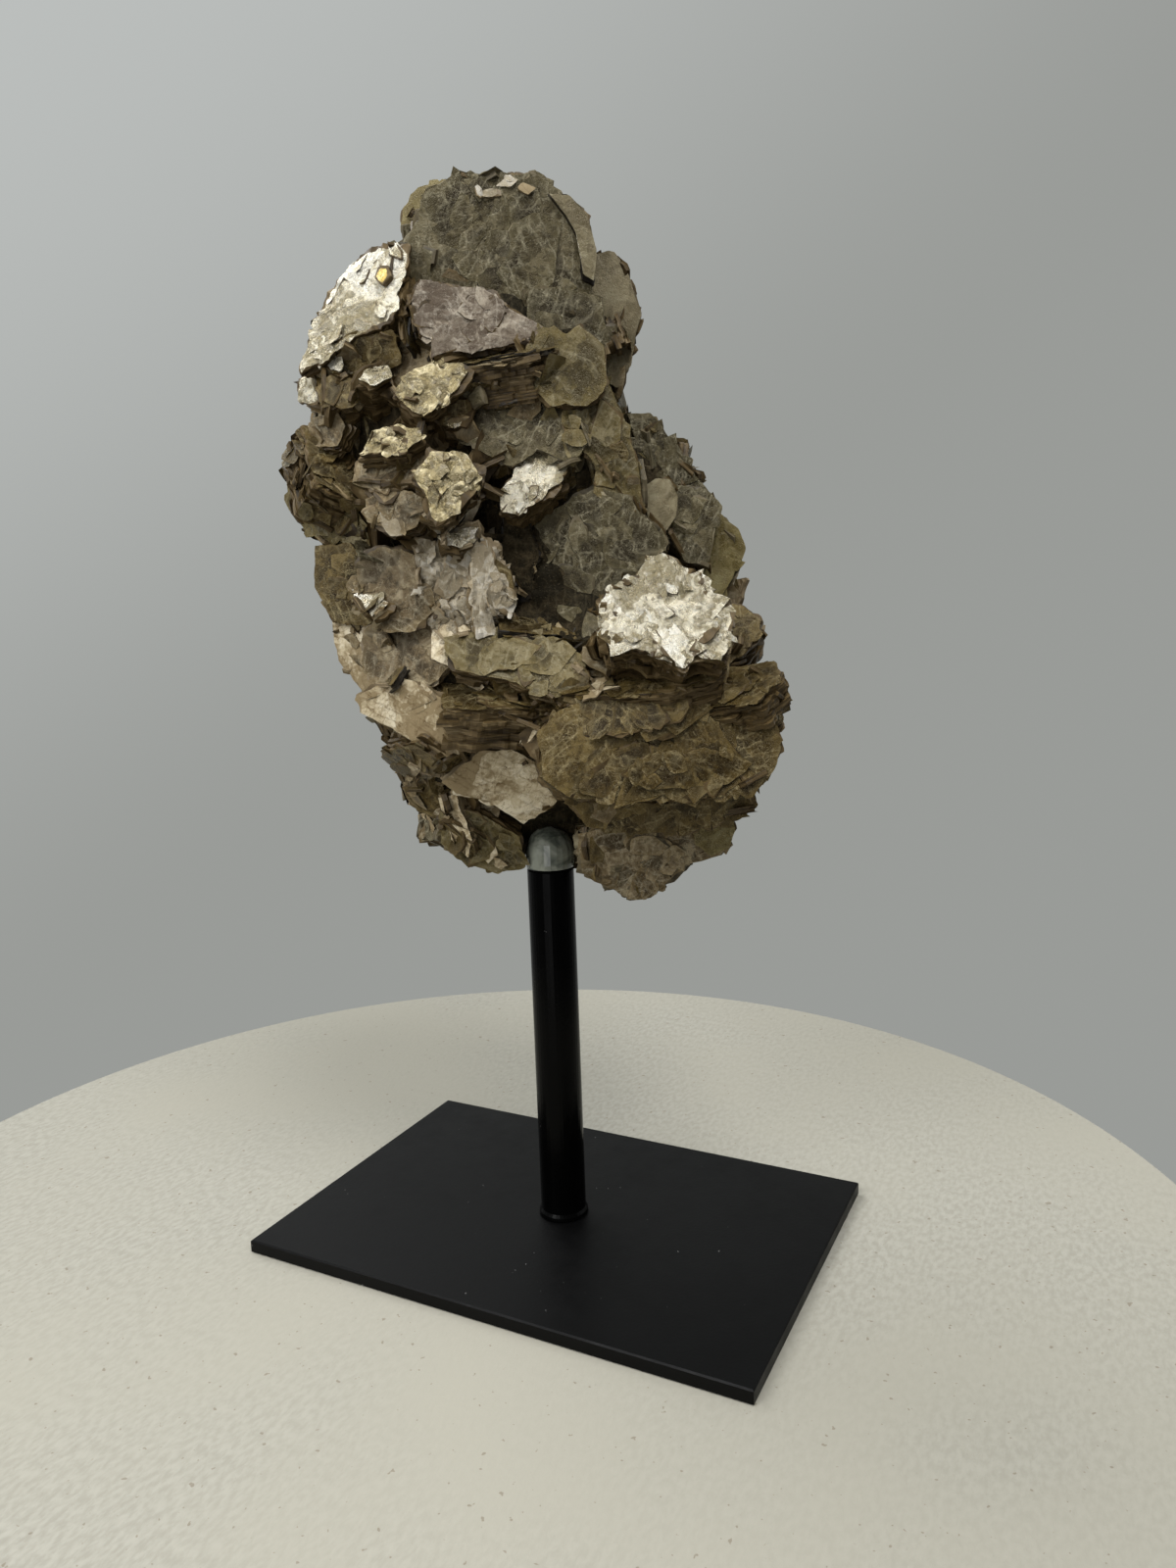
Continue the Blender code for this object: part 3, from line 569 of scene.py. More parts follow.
def face_relief(flat, radius, habit, draw, seed):
    """Height, shade and torn-edge mark at each (x, y) of a face."""
    place = np.column_stack((flat, np.full(len(flat), seed * 5.1)))
    calm = min(1.0, radius / CALM_RADIUS) ** 3
    height = calm * habit.swell * ripples(place, 13.0, seed, 2)
    height += calm * habit.crumple * (creases(place, 2.0, seed + 3) - 0.5)
    height += habit.fine * ripples(place, 1.1, seed + 5, 2)
    tone = 0.25 * grid_noise(place / 7.0, seed + 9) + (1 - calm) * draw.uniform(-0.6, 0.6)
    crest = np.zeros(len(flat))
    wobble = 0.7 * grid_noise(place / 4.0, seed + 11) + 0.35 * grid_noise(place / 1.5, seed + 12)
    for _ in range(int(habit.tears * math.pi * radius**2) + (habit.tears > 0)):
        middle = radius * draw.uniform(-1.3, 1.3, 2)
        size = radius * draw.uniform(0.35, 1.3)
        inside = size - np.linalg.norm(flat - middle, axis=1) + wobble * draw.uniform(0.5, 1.3)
        lifted = np.clip(inside / 0.6 + 0.5, 0, 1)
        height += habit.step * draw.uniform(0.4, 1.3) * draw.choice((-1, 1)) * lifted
        tone += draw.uniform(-0.4, 0.4) * lifted
        crest = np.maximum(crest, draw.uniform(0.2, 1.0) * np.exp(-((inside - 0.15) / 0.32) ** 2))
    return height - height.mean(), tone - tone.mean() * (1 - 0.5 * (1 - calm)), crest


TEN_BY_EIGHT = ((-5, -4), (5, -4), (5, 4), (-5, 4))
print("a 10 by 8 mm outline is walked in", len(walk_rim(TEN_BY_EIGHT, RIM_STEP)), "points")

# %% [markdown]
# The side goes down from the rim page by page. Every page has its own torn outline, and two
# rings, its upper and lower edge, so that it stays a crisp step. Near the face the pages
# are thin; deeper down, where other books hide them, they may be thicker.

# %% One book as rings of points
FIRST_PAGE, PAGE_GROWTH = 0.12, 1.16   # mm, and how much thicker each page is than the last
PAGE_RAGGED = 1.7                      # pages are torn more than the face
PAGE_INSET = -0.35, 0.9                # mm that a page stands out or back


def page_levels(thick, step):
    """Depths at which one page ends and the next begins, from the face down."""
    levels, depth, page = [], FIRST_PAGE, PAGE * step / RIM_STEP
    while depth < thick - 0.3 * page:
        levels.append(depth)
        depth += page
        page *= PAGE_GROWTH
    return (levels or [0.3 * thick]) + [thick]


def book_rings(book, habit, seed, step):
    """Rings of points from the middle of the face, over the rim and down to the back."""
    draw = np.random.default_rng(seed)
    rim = walk_rim(book.outline, step)
    top = torn(rim, habit.ragged, seed)
    radius = float(np.mean(np.linalg.norm(top, axis=1)))
    steps = max(1, int(radius / (step * 1.15)))
    shares = (np.arange(1, steps + 1) / steps) ** 0.85
    flat = np.concatenate([np.zeros((1, 2))] + [s * (rim + (top - rim) * s**5) for s in shares])
    thin = np.concatenate([[0.0]] + [np.full(len(top), s**7) for s in shares])
    height, tone, crest = face_relief(flat, radius, habit, draw, seed)
    height -= 0.1 * thin * (0.5 + np.abs(tone))
    skins = [(np.column_stack((flat, height)), tone, crest, thin)]
    edge = height[-len(top):]
    levels = page_levels(book.thick, step)
    for number, (high, low) in enumerate(zip(levels, levels[1:])):
        inset = draw.uniform(*PAGE_INSET) + 0.012 * high * abs(draw.normal())
        page_rim = torn(rim, habit.ragged * PAGE_RAGGED, seed + 40 + number, 1 - inset / radius)
        settle = np.clip(1 - high / max(book.thick, 1.0), 0, 1) * edge
        for depth in (high, low):
            ring = np.column_stack((page_rim, settle - depth))
            shade = np.full(len(rim), draw.uniform(-0.5, 0.5))
            skins.append((ring, shade, np.zeros(len(rim)), np.zeros(len(rim))))
    parts = [np.concatenate(group) for group in zip(*skins)]
    back = ([[0.0, 0.0, -book.thick]], [0.0], [0.0], [0.0])
    points, tone, crest, thin = (np.concatenate(pair) for pair in zip(parts, back))
    return points, tone, crest, thin, len(rim), steps


print("page depths of a 6 mm book:", [round(d, 2) for d in page_levels(6, RIM_STEP)])

# %% [markdown]
# A flat skin of rings is then bent a little, as real books are, stood up in its place and
# turned to face its own way. The numbers are kept in millimetres until the very end.

# %% Placing a book
def facing_axes(facing):
    """Three columns: the book's right, its up and the way its face looks."""
    right, front, up = facing
    out = np.array((right, -front, up), float)
    out /= np.linalg.norm(out)
    upward = np.array((0.0, 0.25, 1.0))  # leans away, so that a face looking straight up has an up too
    upward -= upward @ out * out
    upward /= np.linalg.norm(upward)
    return np.column_stack((np.cross(upward, out), upward, out))


def ring_faces(count, rings, first):
    """Quads between neighbouring rings of count points, and the fans at both ends."""
    i = np.arange(count)
    j = (i + 1) % count
    quads = []
    for ring in range(rings - 1):
        low = first + 1 + ring * count
        quads.append(np.column_stack((low + i, low + count + i, low + count + j, low + j)))
    last = first + 1 + (rings - 1) * count
    middle = np.column_stack((np.full(count, first), first + 1 + i, first + 1 + j))
    end = np.column_stack((last + i, np.full(count, last + count), last + j))
    return np.concatenate(quads), middle, end


def build_book(book, seed, step=RIM_STEP):
    """A book as arrays: points in the specimen's frame, faces and what each point carries."""
    points, tone, crest, thin, count, steps = book_rings(book, HABITS[book.face.name], seed, step)
    amount, way = book.bend
    across = points[:, 0] * math.cos(way) + points[:, 1] * math.sin(way)
    bent = points.copy()
    bent[:, 2] += amount * (across / 10.0) ** 2
    draw = np.random.default_rng(seed)
    own_turn = np.array(Matrix.Rotation(draw.uniform(0, 2 * math.pi), 3, "Z"))
    place = points / 10.0 @ own_turn + draw.uniform(-40, 40, 3)
    rings = (len(points) - 2) // count
    quads, middle, end = ring_faces(count, rings, 0)
    face_quads = (steps - 1) * count
    return {
        "points": np.array(book.at) + bent @ facing_axes(book.facing).T,
        "tone": tone, "crest": crest, "thin": thin, "place": place,
        "quads": quads, "tris": np.concatenate((middle, end)),
        "quad_side": np.arange(len(quads)) >= face_quads,
        "tri_side": np.arange(2 * count) >= count,
        "face": book.face, "pages": book.pages,
    }


SAMPLE = Book("sample", smoky, grey_pages, (0, 0, 0), (0, 1, 0), 6, TEN_BY_EIGHT)
built_sample = build_book(SAMPLE, 5)
print("one small book:", len(built_sample["points"]), "points,", len(built_sample["quads"]), "quads")

# %% [markdown]
# A clean skin still looks too whole. Real faces are shingled with sheets that have come
# partly loose: thin scraps that lie almost in the plane of the face, some of them hanging
# over its rim and bridging to the next book. They are made as very thin books, scattered
# over the face and a little beyond it, and they are what makes separate books read as one
# mass.

# %% Loose sheets on a face
SCRAP_THICK = 0.15, 0.5   # mm
SCRAP_STRETCH = 0.3


def broken_corners(draw, size, stretch):
    """Five to eight corners at uneven distances, longer one way."""
    corners = draw.integers(5, 9)
    turns = 2 * math.pi * (np.arange(corners) + draw.uniform(-0.3, 0.3, corners)) / corners
    long_way = draw.uniform(0, math.pi)
    reach = size * draw.uniform(0.65, 1.25, corners) * (1 + stretch * np.cos(2 * (turns - long_way)))
    return tuple(zip(reach * np.cos(turns), reach * np.sin(turns)))


def loose_sheets(book, seed):
    """Thin scraps that shingle the face of a book."""
    habit = HABITS[book.face.name]
    draw = np.random.default_rng(seed + 31)
    rim = walk_rim(book.outline, RIM_STEP)
    radius = float(np.mean(np.linalg.norm(rim, axis=1)))
    axes = facing_axes(book.facing)
    built = []
    for number in range(int(habit.scales * math.pi * radius**2)):
        share = math.sqrt(draw.uniform(0, 1.0))
        x, y = rim[draw.integers(len(rim))] * share * 1.03
        largest = max(habit.smallest * 1.5, 0.5 * radius)
        size = habit.smallest + (largest - habit.smallest) * draw.power(0.6)
        size = min(size, max(1.5, 1.35 * radius * (1.05 - share)))
        lift = 0.08 + 0.12 * abs(draw.normal()) + habit.swell * 0.25
        lean = draw.normal(0, habit.tilt, 2) * min(1.0, 3.0 / size)
        way = axes @ np.array((lean[0], lean[1], 1.0))
        at = np.array(book.at) + axes @ np.array((x, y, lift - 0.5 * share**4))
        thick = draw.uniform(*SCRAP_THICK)
        scrap = Book("scrap", book.face, book.pages, tuple(at), (way[0], -way[1], way[2]), thick,
                     broken_corners(draw, size, SCRAP_STRETCH))
        built.append(build_book(scrap, seed * 50 + number, step=max(0.75, 0.3 * size)))
    return built


print("one small book gets", len(loose_sheets(SAMPLE, 5)), "loose sheets")

# %% [markdown]
# Small pieces must not stand far out of the mass, or the specimen would grow. The solid is
# the measure: a search tree of its faces tells how far each point of a flake lies outside,
# and a flake that stands too proud is pushed back along the nearest face's own normal. The
# clean faces are kept free of stray flakes in the same spirit.

# %% Keeping flakes close to the mass
INTO_SPECIMEN_FRAME = np.array(Matrix.Rotation(SPECIMEN_TURN, 3, "Z"))


def search_tree(node):
    """A search tree of a solid's faces, in mm in the specimen's frame."""
    points = np.array([v.co for v in node.data.vertices]) @ INTO_SPECIMEN_FRAME / MM
    return BVHTree.FromPolygons([Vector(p) for p in points], [tuple(f.vertices) for f in node.data.polygons])


MASS_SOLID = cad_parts["mica_cluster"]
MASS = search_tree(MASS_SOLID)


def tucked(built, proud):
    """Pushes a built flake back, three times at most, while a point stands out by more than proud."""
    for _ in range(3):
        worst, push = proud, None
        for point in built["points"][1::2]:  # every second point is enough
            nearest, normal, _, distance = MASS.find_nearest(Vector(point))
            if distance > worst and normal.dot(Vector(point) - nearest) > 0:
                worst, push = distance, (Vector(point) - nearest).normalized()
        if push is None:
            break
        built["points"] = built["points"] - np.array(push) * (worst - proud)
    return built


def over_a_clean_face(place, clean_books):
    """True if a place lies on or just in front of a face that stays clean."""
    for book in clean_books:
        local = (place - np.array(book.at)) @ facing_axes(book.facing)
        wide, high = np.abs(np.array(book.outline)).max(axis=0)
        if local[2] > -1.5 and math.hypot(local[0] / wide, local[1] / high) < 1.0:
            return True
    return False


print("search tree of the mass:", len(MASS_SOLID.data.polygons), "faces")

# %% [markdown]
# ## The books on the front
#
# These are the books that the eye reads one by one. Each has the middle of its face, the
# way the face looks (right, front, up), its thickness and its outline as seen square on.
# They are kept in groups, one for each part of the specimen, so that a reader can find a
# book and change it without touching the rest.

# %% The table of front books
FRONT_BOOKS = {
    "mica_head": (
        Book("head_face", smoky, grey_pages, (-2, -8, 203), (0.15, 1, -0.05), 12,
             ((-16, 11), (-10, 13.6), (-4.5, 14.6), (4, 14.6), (9, 12), (13, 8), (14, 1), (15, -7),
              (14, -14), (9.5, -16), (4.5, -12), (-5, -6), (-18, -7), (-21, -2), (-19, 5))),
        Book("head_left_lobe", honey, brown_pages, (-18, -4, 213), (-0.1, 1, 0.1), 9,
             ((-6, -3), (-5.4, 1), (-2, 4.4), (3, 6), (7, 4), (6, -3), (1, -6), (-4, -6))),
        Book("head_crown", tan, brown_pages, (2.5, -1, 212.5), (0.1, 1, 0.1), 8,
             ((-12, 4), (-9, 6.8), (-4, 7.8), (1, 7.4), (9.6, 1), (10, -5), (-2, -9), (-10, -5))),
        Book("head_side_sheet", clear, grey_pages, (17, -1, 194), (0.1, 1, 0.05), 4,
             ((-5, 10.6), (-1, 12), (0.4, 11.6), (3, 7.4), (5.4, 0), (4.2, -5), (3.4, -10),
              (0.5, -14.5), (-4, -11), (-7, -3), (-6, 5))),
        Book("head_neck_lump", smoky, grey_pages, (-24.5, -8, 204), (-0.3, 1, 0.1), 10,
             ((-6, -1), (-1, 2), (3, 3), (6, 0), (5, -4), (-3, -4))),
    ),
    "mica_shoulder": (
        Book("silver_shoulder", silver, brown_pages, (-31.5, -13, 194), (-0.4, 1, 0.42), 10,
             ((3, 11), (7.4, 11.4), (9.2, 9), (9.7, 2), (9, -3.4), (4, -6), (-4, -9), (-11, -12),
              (-11, -8.4), (-8.4, -1), (-6, 4), (-3, 8.6))),
        Book("pink_ledge", rose, brown_pages, (-10, -18, 190), (0.08, 1, 0.05), 9,
             ((-11, 2.6), (-9, 6.4), (-2.6, 5.6), (2.6, 5.2), (7, 1.8), (14.4, -2.6), (11, -4.4),
              (3.4, -6), (-3.4, -6.4), (-9.4, -3.4))),
        Book("ledge_pages", tan, brown_pages, (-5, -15, 183), (-0.14, 0.35, 1), 8,
             ((-11, -4), (-3, -6), (7, -5), (11, 0), (9, 6), (-9, 6))),
        Book("shoulder_step", umber, brown_pages, (-31.5, -14, 184.5), (-0.2, 1, -0.35), 9,
             ((-9, -1), (-2, 2.6), (7.5, 3.6), (8, -2.4), (2, -4), (-6, -3.6))),
        Book("silver_left_edge", silver, brown_pages, (-40.5, -10, 182), (-0.55, 1, 0.3), 7,
             ((-4.6, -0.5), (-2.4, 4.4), (0.4, 6.4), (3.4, 5), (5.4, 1.6), (3, -3), (-0.4, -5.4),
              (-4.6, -4))),
        Book("gold_ledge", gilt, brown_pages, (-17, -22, 177), (0, 1, 0.45), 11,
             ((-7, -1), (-4.4, 3), (0.4, 5.4), (5, 5), (7, 3), (5, -0.2), (1.4, -3.4), (-2, -5.8),
              (-4.8, -4))),
        Book("brown_flake", umber, brown_pages, (-36, -16, 178), (-0.15, 1, 0.25), 10,
             ((-4, 1), (0.5, 3), (5, 1), (3, -3), (-2.5, -3))),
        Book("bright_chip", silver, brown_pages, (-27.5, -19, 180), (0.05, 1, 0.6), 10,
             ((-2.5, 1.5), (2, 2), (2.6, -0.6), (-1, -2.4), (-3.4, -1))),
        Book("pale_knob", tan, brown_pages, (-38, -14, 171.5), (-0.3, 1, 0.2), 10,
             ((-3.8, 2.4), (1.5, 3.6), (4, 0), (1.5, -3.6), (-3.4, -3))),
        Book("low_gold_chip", gilt, brown_pages, (-24, -24, 167.5), (-0.1, 1, 0.75), 17,
             ((-6.5, -3), (-4, 2.6), (0, 3.4), (4.4, 2.6), (5, 0), (1.6, -2.6))),
        Book("pocket_chip", gilt, brown_pages, (-14, -18, 172), (0.1, 1, 0.6), 8,
             ((-2.6, -1), (-1, 1.6), (3, 1.6), (2.6, -1), (0, -2))),
    ),
    "mica_middle": (
        Book("middle_flake", tan, brown_pages, (-26, -22, 162), (-0.1, 1, 0.3), 13,
             ((-6, 2.6), (1, 3.6), (6.6, 3), (5.6, -0.6), (3.6, -3), (-3, -3.4), (-6.4, -1.4))),
        Book("hanging_flake", gilt, brown_pages, (-14.5, -27, 159), (0.1, 1, 0.25), 17,
             ((-6.6, 1.4), (-3, 6.2), (2, 5.6), (5.8, 3), (6, 1), (1.7, -3), (0.8, -5.6), (-1.4, -7),
              (-3.2, -5.6), (-4.6, -1))),
        Book("silver_crescent", silver, brown_pages, (-14, -22, 150), (0.1, 1, 0.6), 13,
             ((-3.6, 0.4), (1.8, 2.2), (3.8, 2.8), (3.2, 0.2), (0.4, -2.4), (-2, -2))),
        Book("brown_middle_flake", tan, brown_pages, (-25, -23, 155.5), (-0.15, 1, 0.1), 14,
             ((-6, 2.4), (-1, 4), (3.6, 3.2), (6, -0.5), (3.6, -4), (-1, -4.4), (-5.4, -2))),
        Book("upper_face", smoky, grey_pages, (-0.7, -16, 171), (0, 1, 0.15), 9,
             ((-10, 5.6), (4.6, 10.4), (10, 4), (12, -3.8), (8, -8), (2, -5), (-3, -8), (-9, -5),
              (-12, -2))),
        Book("olive_sheet", olive, brown_pages, (11, -15, 172), (0.38, 1, 0.1), 8,
             ((-10.4, 13.4), (-7, 15.6), (-2, 13), (2.4, 9.8), (8, -1), (11, -10), (11.4, -17),
              (7.6, -14), (0, -6), (-6, 5))),
        Book("silver_tile", silver, brown_pages, (1, -17, 161), (-0.05, 1, 0.5), 9,
             ((1, 8), (6, 4), (5, -0.6), (1.3, -4.6), (-3.4, -8), (-6.4, -7), (-7.2, -2.6), (-3.4, 2.8))),
        Book("dark_face", smoky, grey_pages, (10.5, -14, 147.6), (-0.15, 1, -0.05), 11,
             ((-12, 4), (-5.6, 8), (2, 11.4), (8, 9.4), (15, 0), (11.4, -5), (0, -10.6), (-8, -10.6),
              (-12.4, -8), (-14, -2))),
        # Painted shade: a near-black ledge on the floor of the hollow under the dark face, where shade falls.
        Book("dark_ledge", rubble_and_shade, shade_pages, (6, -14, 134), (0, 0.7, 1), 8,
             ((-11, 0), (-4, 5), (6, 6), (9, 1), (5, -7), (-6, -6))),
        Book("white_knob", crust, pale_pages, (-5.5, -20, 139.5), (0.3, 1, 0.1), 9,
             ((-2.4, 4), (1.6, 3.6), (2.4, -1), (1, -4), (-3, -3))),
    ),
    "mica_left": (
        Book("left_wing", olive, brown_pages, (-41, -10, 157), (-0.5, 1, -0.1), 12,
             ((-8, 8.6), (-2, 8.8), (3, 4), (8, -2), (9, -8), (6, -11), (1, -8), (-6, -3), (-8.4, 3))),
        Book("left_pages", umber, brown_pages, (-44, -4, 168.5), (-1, 0.5, 0.15), 9,
             ((-6, 6), (2, 8), (6, 3), (5, -7), (-3, -8), (-7, -2))),
        Book("slanting_pages", umber, brown_pages, (-38, -13, 166), (0.65, 0.6, 0.6), 10,
             ((-5, 7), (4, 8), (5, -2), (3, -9), (-5, -7))),
        Book("left_middle", umber, brown_pages, (-36, -14, 143), (-0.4, 1, 0), 12,
             ((-7, 8), (1, 7), (6.5, 3), (8, -6), (2, -9), (-5, -7), (-8, 0))),
        Book("gold_patch", silver, brown_pages, (-32, -18.5, 139.5), (-0.25, 1, 0.6), 12,
             ((-3.5, 3.6), (-1, 4), (4.6, -1.5), (3.8, -3.6), (1.6, -4.6), (-3, 0.5))),
        Book("left_lower_wall", cream, pale_pages, (-33.5, -14, 129), (-0.45, 1, 0), 11,
             ((-7, 9.5), (-1.6, 6), (3.4, 4), (8, -2.4), (4.4, -8), (-1, -8), (-4.4, -4.6), (-7, 1))),
        Book("lower_left_plate", cream, pale_pages, (-25, -20, 116), (-0.18, 1, -0.1), 10,
             ((-10.4, 5), (-6.4, 7.4), (1.8, 7.4), (7, 4.4), (9.6, 0), (9.4, -7), (6.4, -7.8),
              (1.8, -5.4), (-6, 0), (-9.8, 2.4))),
        Book("lower_left_pages", umber, brown_pages, (-27, -14, 107), (-0.6, 0.7, -0.8), 9,
             ((-7, 3), (-2, 5), (9, 4), (11, -2), (2, -5), (-6, -3))),
        Book("grey_lump", tan, grey_pages, (-27, -7, 105), (-0.35, 1, -0.3), 9,
             ((-4.4, 2), (-2, 5), (3, 1), (5.4, -3), (1.4, -5), (-3, -3.4))),
        Book("grey_lump_low", umber, brown_pages, (-24.5, -6, 98.5), (-0.3, 1, -0.4), 9,
             ((-5, 3), (3.6, 4.4), (4.6, -2), (1.5, -4), (-3.4, -2.6))),
        Book("amber_lobe", olive, brown_pages, (-13, -6, 89), (0, 1, -0.4), 12,
             ((-8.4, 7), (-4.6, 8.8), (1, 6), (7, 1), (7.8, -6.6), (2, -8), (-2.2, -6), (-6, -4),
              (-9, 0.4))),
        Book("cream_edge", cream, pale_pages, (-18.5, -9, 94), (-0.5, 1, -0.3), 11,
             ((-2.6, 6), (1.6, 6), (2.6, -4), (0, -8), (-2.4, -4))),
    ),
    "mica_pale_face": (
        Book("cream_face", cream, pale_pages, (-8.4, -16, 102.5), (0.12, 1, -0.42), 9,
             ((-11.8, 1), (-3.7, 7.8), (2, 8), (7, 5), (10.6, 0), (11.4, -4.2), (7, -7.6), (4.4, -9),
              (-2, -4.4), (-9, -1.4))),
        Book("pale_crust", crust, pale_pages, (-14, -19, 141.5), (0.05, 1, 0), 11,
             ((-8.2, 7), (1.8, 10.6), (7.3, 7), (8, -1), (6, -8), (-3.6, -10), (-8.6, -2.6))),
        Book("pale_brow", olive, brown_pages, (-4, -23, 126.5), (0, 1, 0.5), 10,
             ((-13.4, 5.5), (-4.5, 7.4), (3.6, 6.4), (12, 1.6), (13.6, -4.6), (6.3, -7.2), (-2.7, -3),
              (-12, -1))),
        Book("swept_pages", umber, brown_pages, (-7, -19, 121), (0.2, 0.35, 1), 9,
             ((-12, -4), (-6, -7), (4, -7), (11, -4), (12, 5), (-11, 6)), (-1.1, 0.2)),
    ),
    "mica_right": (
        Book("right_shoulder", smoky, grey_pages, (28.5, -4, 165), (0.42, 1, 0.1), 10,
             ((-11, 7.6), (-6, 8.6), (-4, 7), (0, 1.6), (6.4, -5.6), (10, -9.4), (6.4, -11.4), (-5, -6))),
        Book("grey_disc", clear, grey_pages, (25, -10.5, 157.5), (0.1, 1, 0.15), 9,
             ((-3.2, 2), (-1, 3.4), (2, 3), (3.2, 0), (2.6, -4), (0.4, -7), (-2.4, -6), (-3.6, -2))),
        Book("right_dark_flake", smoky, grey_pages, (31.5, -9, 152), (0.2, 1, 0.1), 10,
             ((-4, 7.5), (2.4, 7), (5.4, 3.4), (3.6, -2), (2.4, -8), (-2, -7), (-5, -1))),
        Book("right_clear_flake", honey, grey_pages, (37.5, -6, 146.3), (0.2, 1, 0), 4,
             ((-5, 6), (-1, 7.8), (2.6, 4.6), (4.3, 1), (3.4, -2), (1.4, -5.6), (-0.4, -8.8), (-5, -6.6))),
        Book("silver_star", silver, brown_pages, (24, -29, 136), (0.1, 1, 0.55), 17,
             ((-11, 3.8), (-5, 6.6), (-3.2, 11), (1.6, 11), (6, 7.4), (10, 1.8), (12, -1),
              (11.2, -8.4), (8.6, -10.8), (4.4, -10), (2.2, -12.4), (-1, -10.8), (-6.4, -8.8),
              (-10.6, -9.6), (-12.4, -4.4))),
        Book("right_back_pages", umber, brown_pages, (39, -15, 130.5), (-0.2, 1, 0.45), 12,
             ((-4, 6.4), (1.6, 5), (4.4, 2.6), (3.4, -1), (0.6, -4.4), (-4.4, -7), (-5, 0))),
        Book("sweeping_sheet", umber, brown_pages, (18, -24, 123.5), (-0.15, 0.6, 1), 9,
             ((-16, -4), (-6, -6), (7, -6), (16, -2), (17, 6), (2, 9), (-14, 7))),
        Book("right_tip", umber, brown_pages, (36.5, -23, 121), (-0.38, 0.55, 0.9), 7,
             ((-13, -3), (-4, -6), (6, -5), (9.6, 1), (7, 6), (-10, 6))),
        Book("right_spur", umber, brown_pages, (45, -18, 114), (0.3, 1, 0.5), 5,
             ((-6, 3), (-2, 1.6), (2.6, 0.8), (2, -1), (-2.4, -2), (-6, -3))),
    ),
    "mica_foot": (
        Book("lower_right_face", umber, brown_pages, (22.5, -27, 112), (0.12, 1, 0.2), 18,
             ((-23, 1.5), (-19, 5.4), (-12, 7.8), (-4.5, 9), (4.5, 7.2), (13, 7.8), (20, 5.8),
              (22.6, 1.4), (23, -3), (20.4, -7.4), (17, -10.6), (8, -11.6), (-10, -11.6),
              (-17.4, -10.4), (-22, -7))),
        Book("face_terrace_high", umber, brown_pages, (15, -28.5, 116.5), (-0.05, 1, 0.3), 8,
             ((-13, -1), (-6, 3), (5, 4), (13, 2.6), (11, -1.4), (1, -3), (-8, -3.4))),
        Book("face_terrace_low", umber, brown_pages, (27, -29, 106.5), (0.15, 1, 0.1), 8,
             ((-12, -1), (-5, 3), (6, 3.4), (13, 0.6), (8, -3.4), (-6, -4))),
        Book("right_face_corner", umber, brown_pages, (39, -18, 108), (0.75, 1, 0.1), 9,
             ((-6, 8), (1, 10), (7, 6), (8.4, -1), (6, -6), (0, -9), (-6, -7))),
        Book("lower_right_band", umber, brown_pages, (26, -21, 98), (0.1, 1, -0.3), 15,
             ((-22, 2.4), (-17.6, 3.8), (14.6, 2.6), (15.6, -0.6), (12, -3.6), (1.4, -5.6),
              (-10, -5.4), (-17.6, -4))),
        Book("lower_lobe", tan, grey_pages, (19, -9, 85.5), (0.05, 1, -0.25), 13,
             ((-12.8, 5.6), (-7, 7.2), (9, 6), (16.4, 5.6), (18.6, 2.4), (16.6, -0.2), (9.4, -2.4),
              (5.6, -6.8), (0.4, -9.8), (-3.8, -9), (-9.4, -4.6), (-12.4, -3))),
    ),
}
print(sum(len(books) for books in FRONT_BOOKS.values()), "front books in", len(FRONT_BOOKS), "groups")

# %% [markdown]
# Over these lie a few small books that the solids don't have, because they only shade or
# edge what is there: near-black pages in the cracks and on a hollow's floor, which are
# painted shade; a golden spot, which is a painted highlight; pale crumbs on the crown; a thin
# clear sheet along a rim, whose dark edge is painted shade too. They could be painted on, but
# then they would slide away in a side view. As books they catch light and cast shadow like
# the rest. Each is seated in the face below it, so none of them hangs in the air.

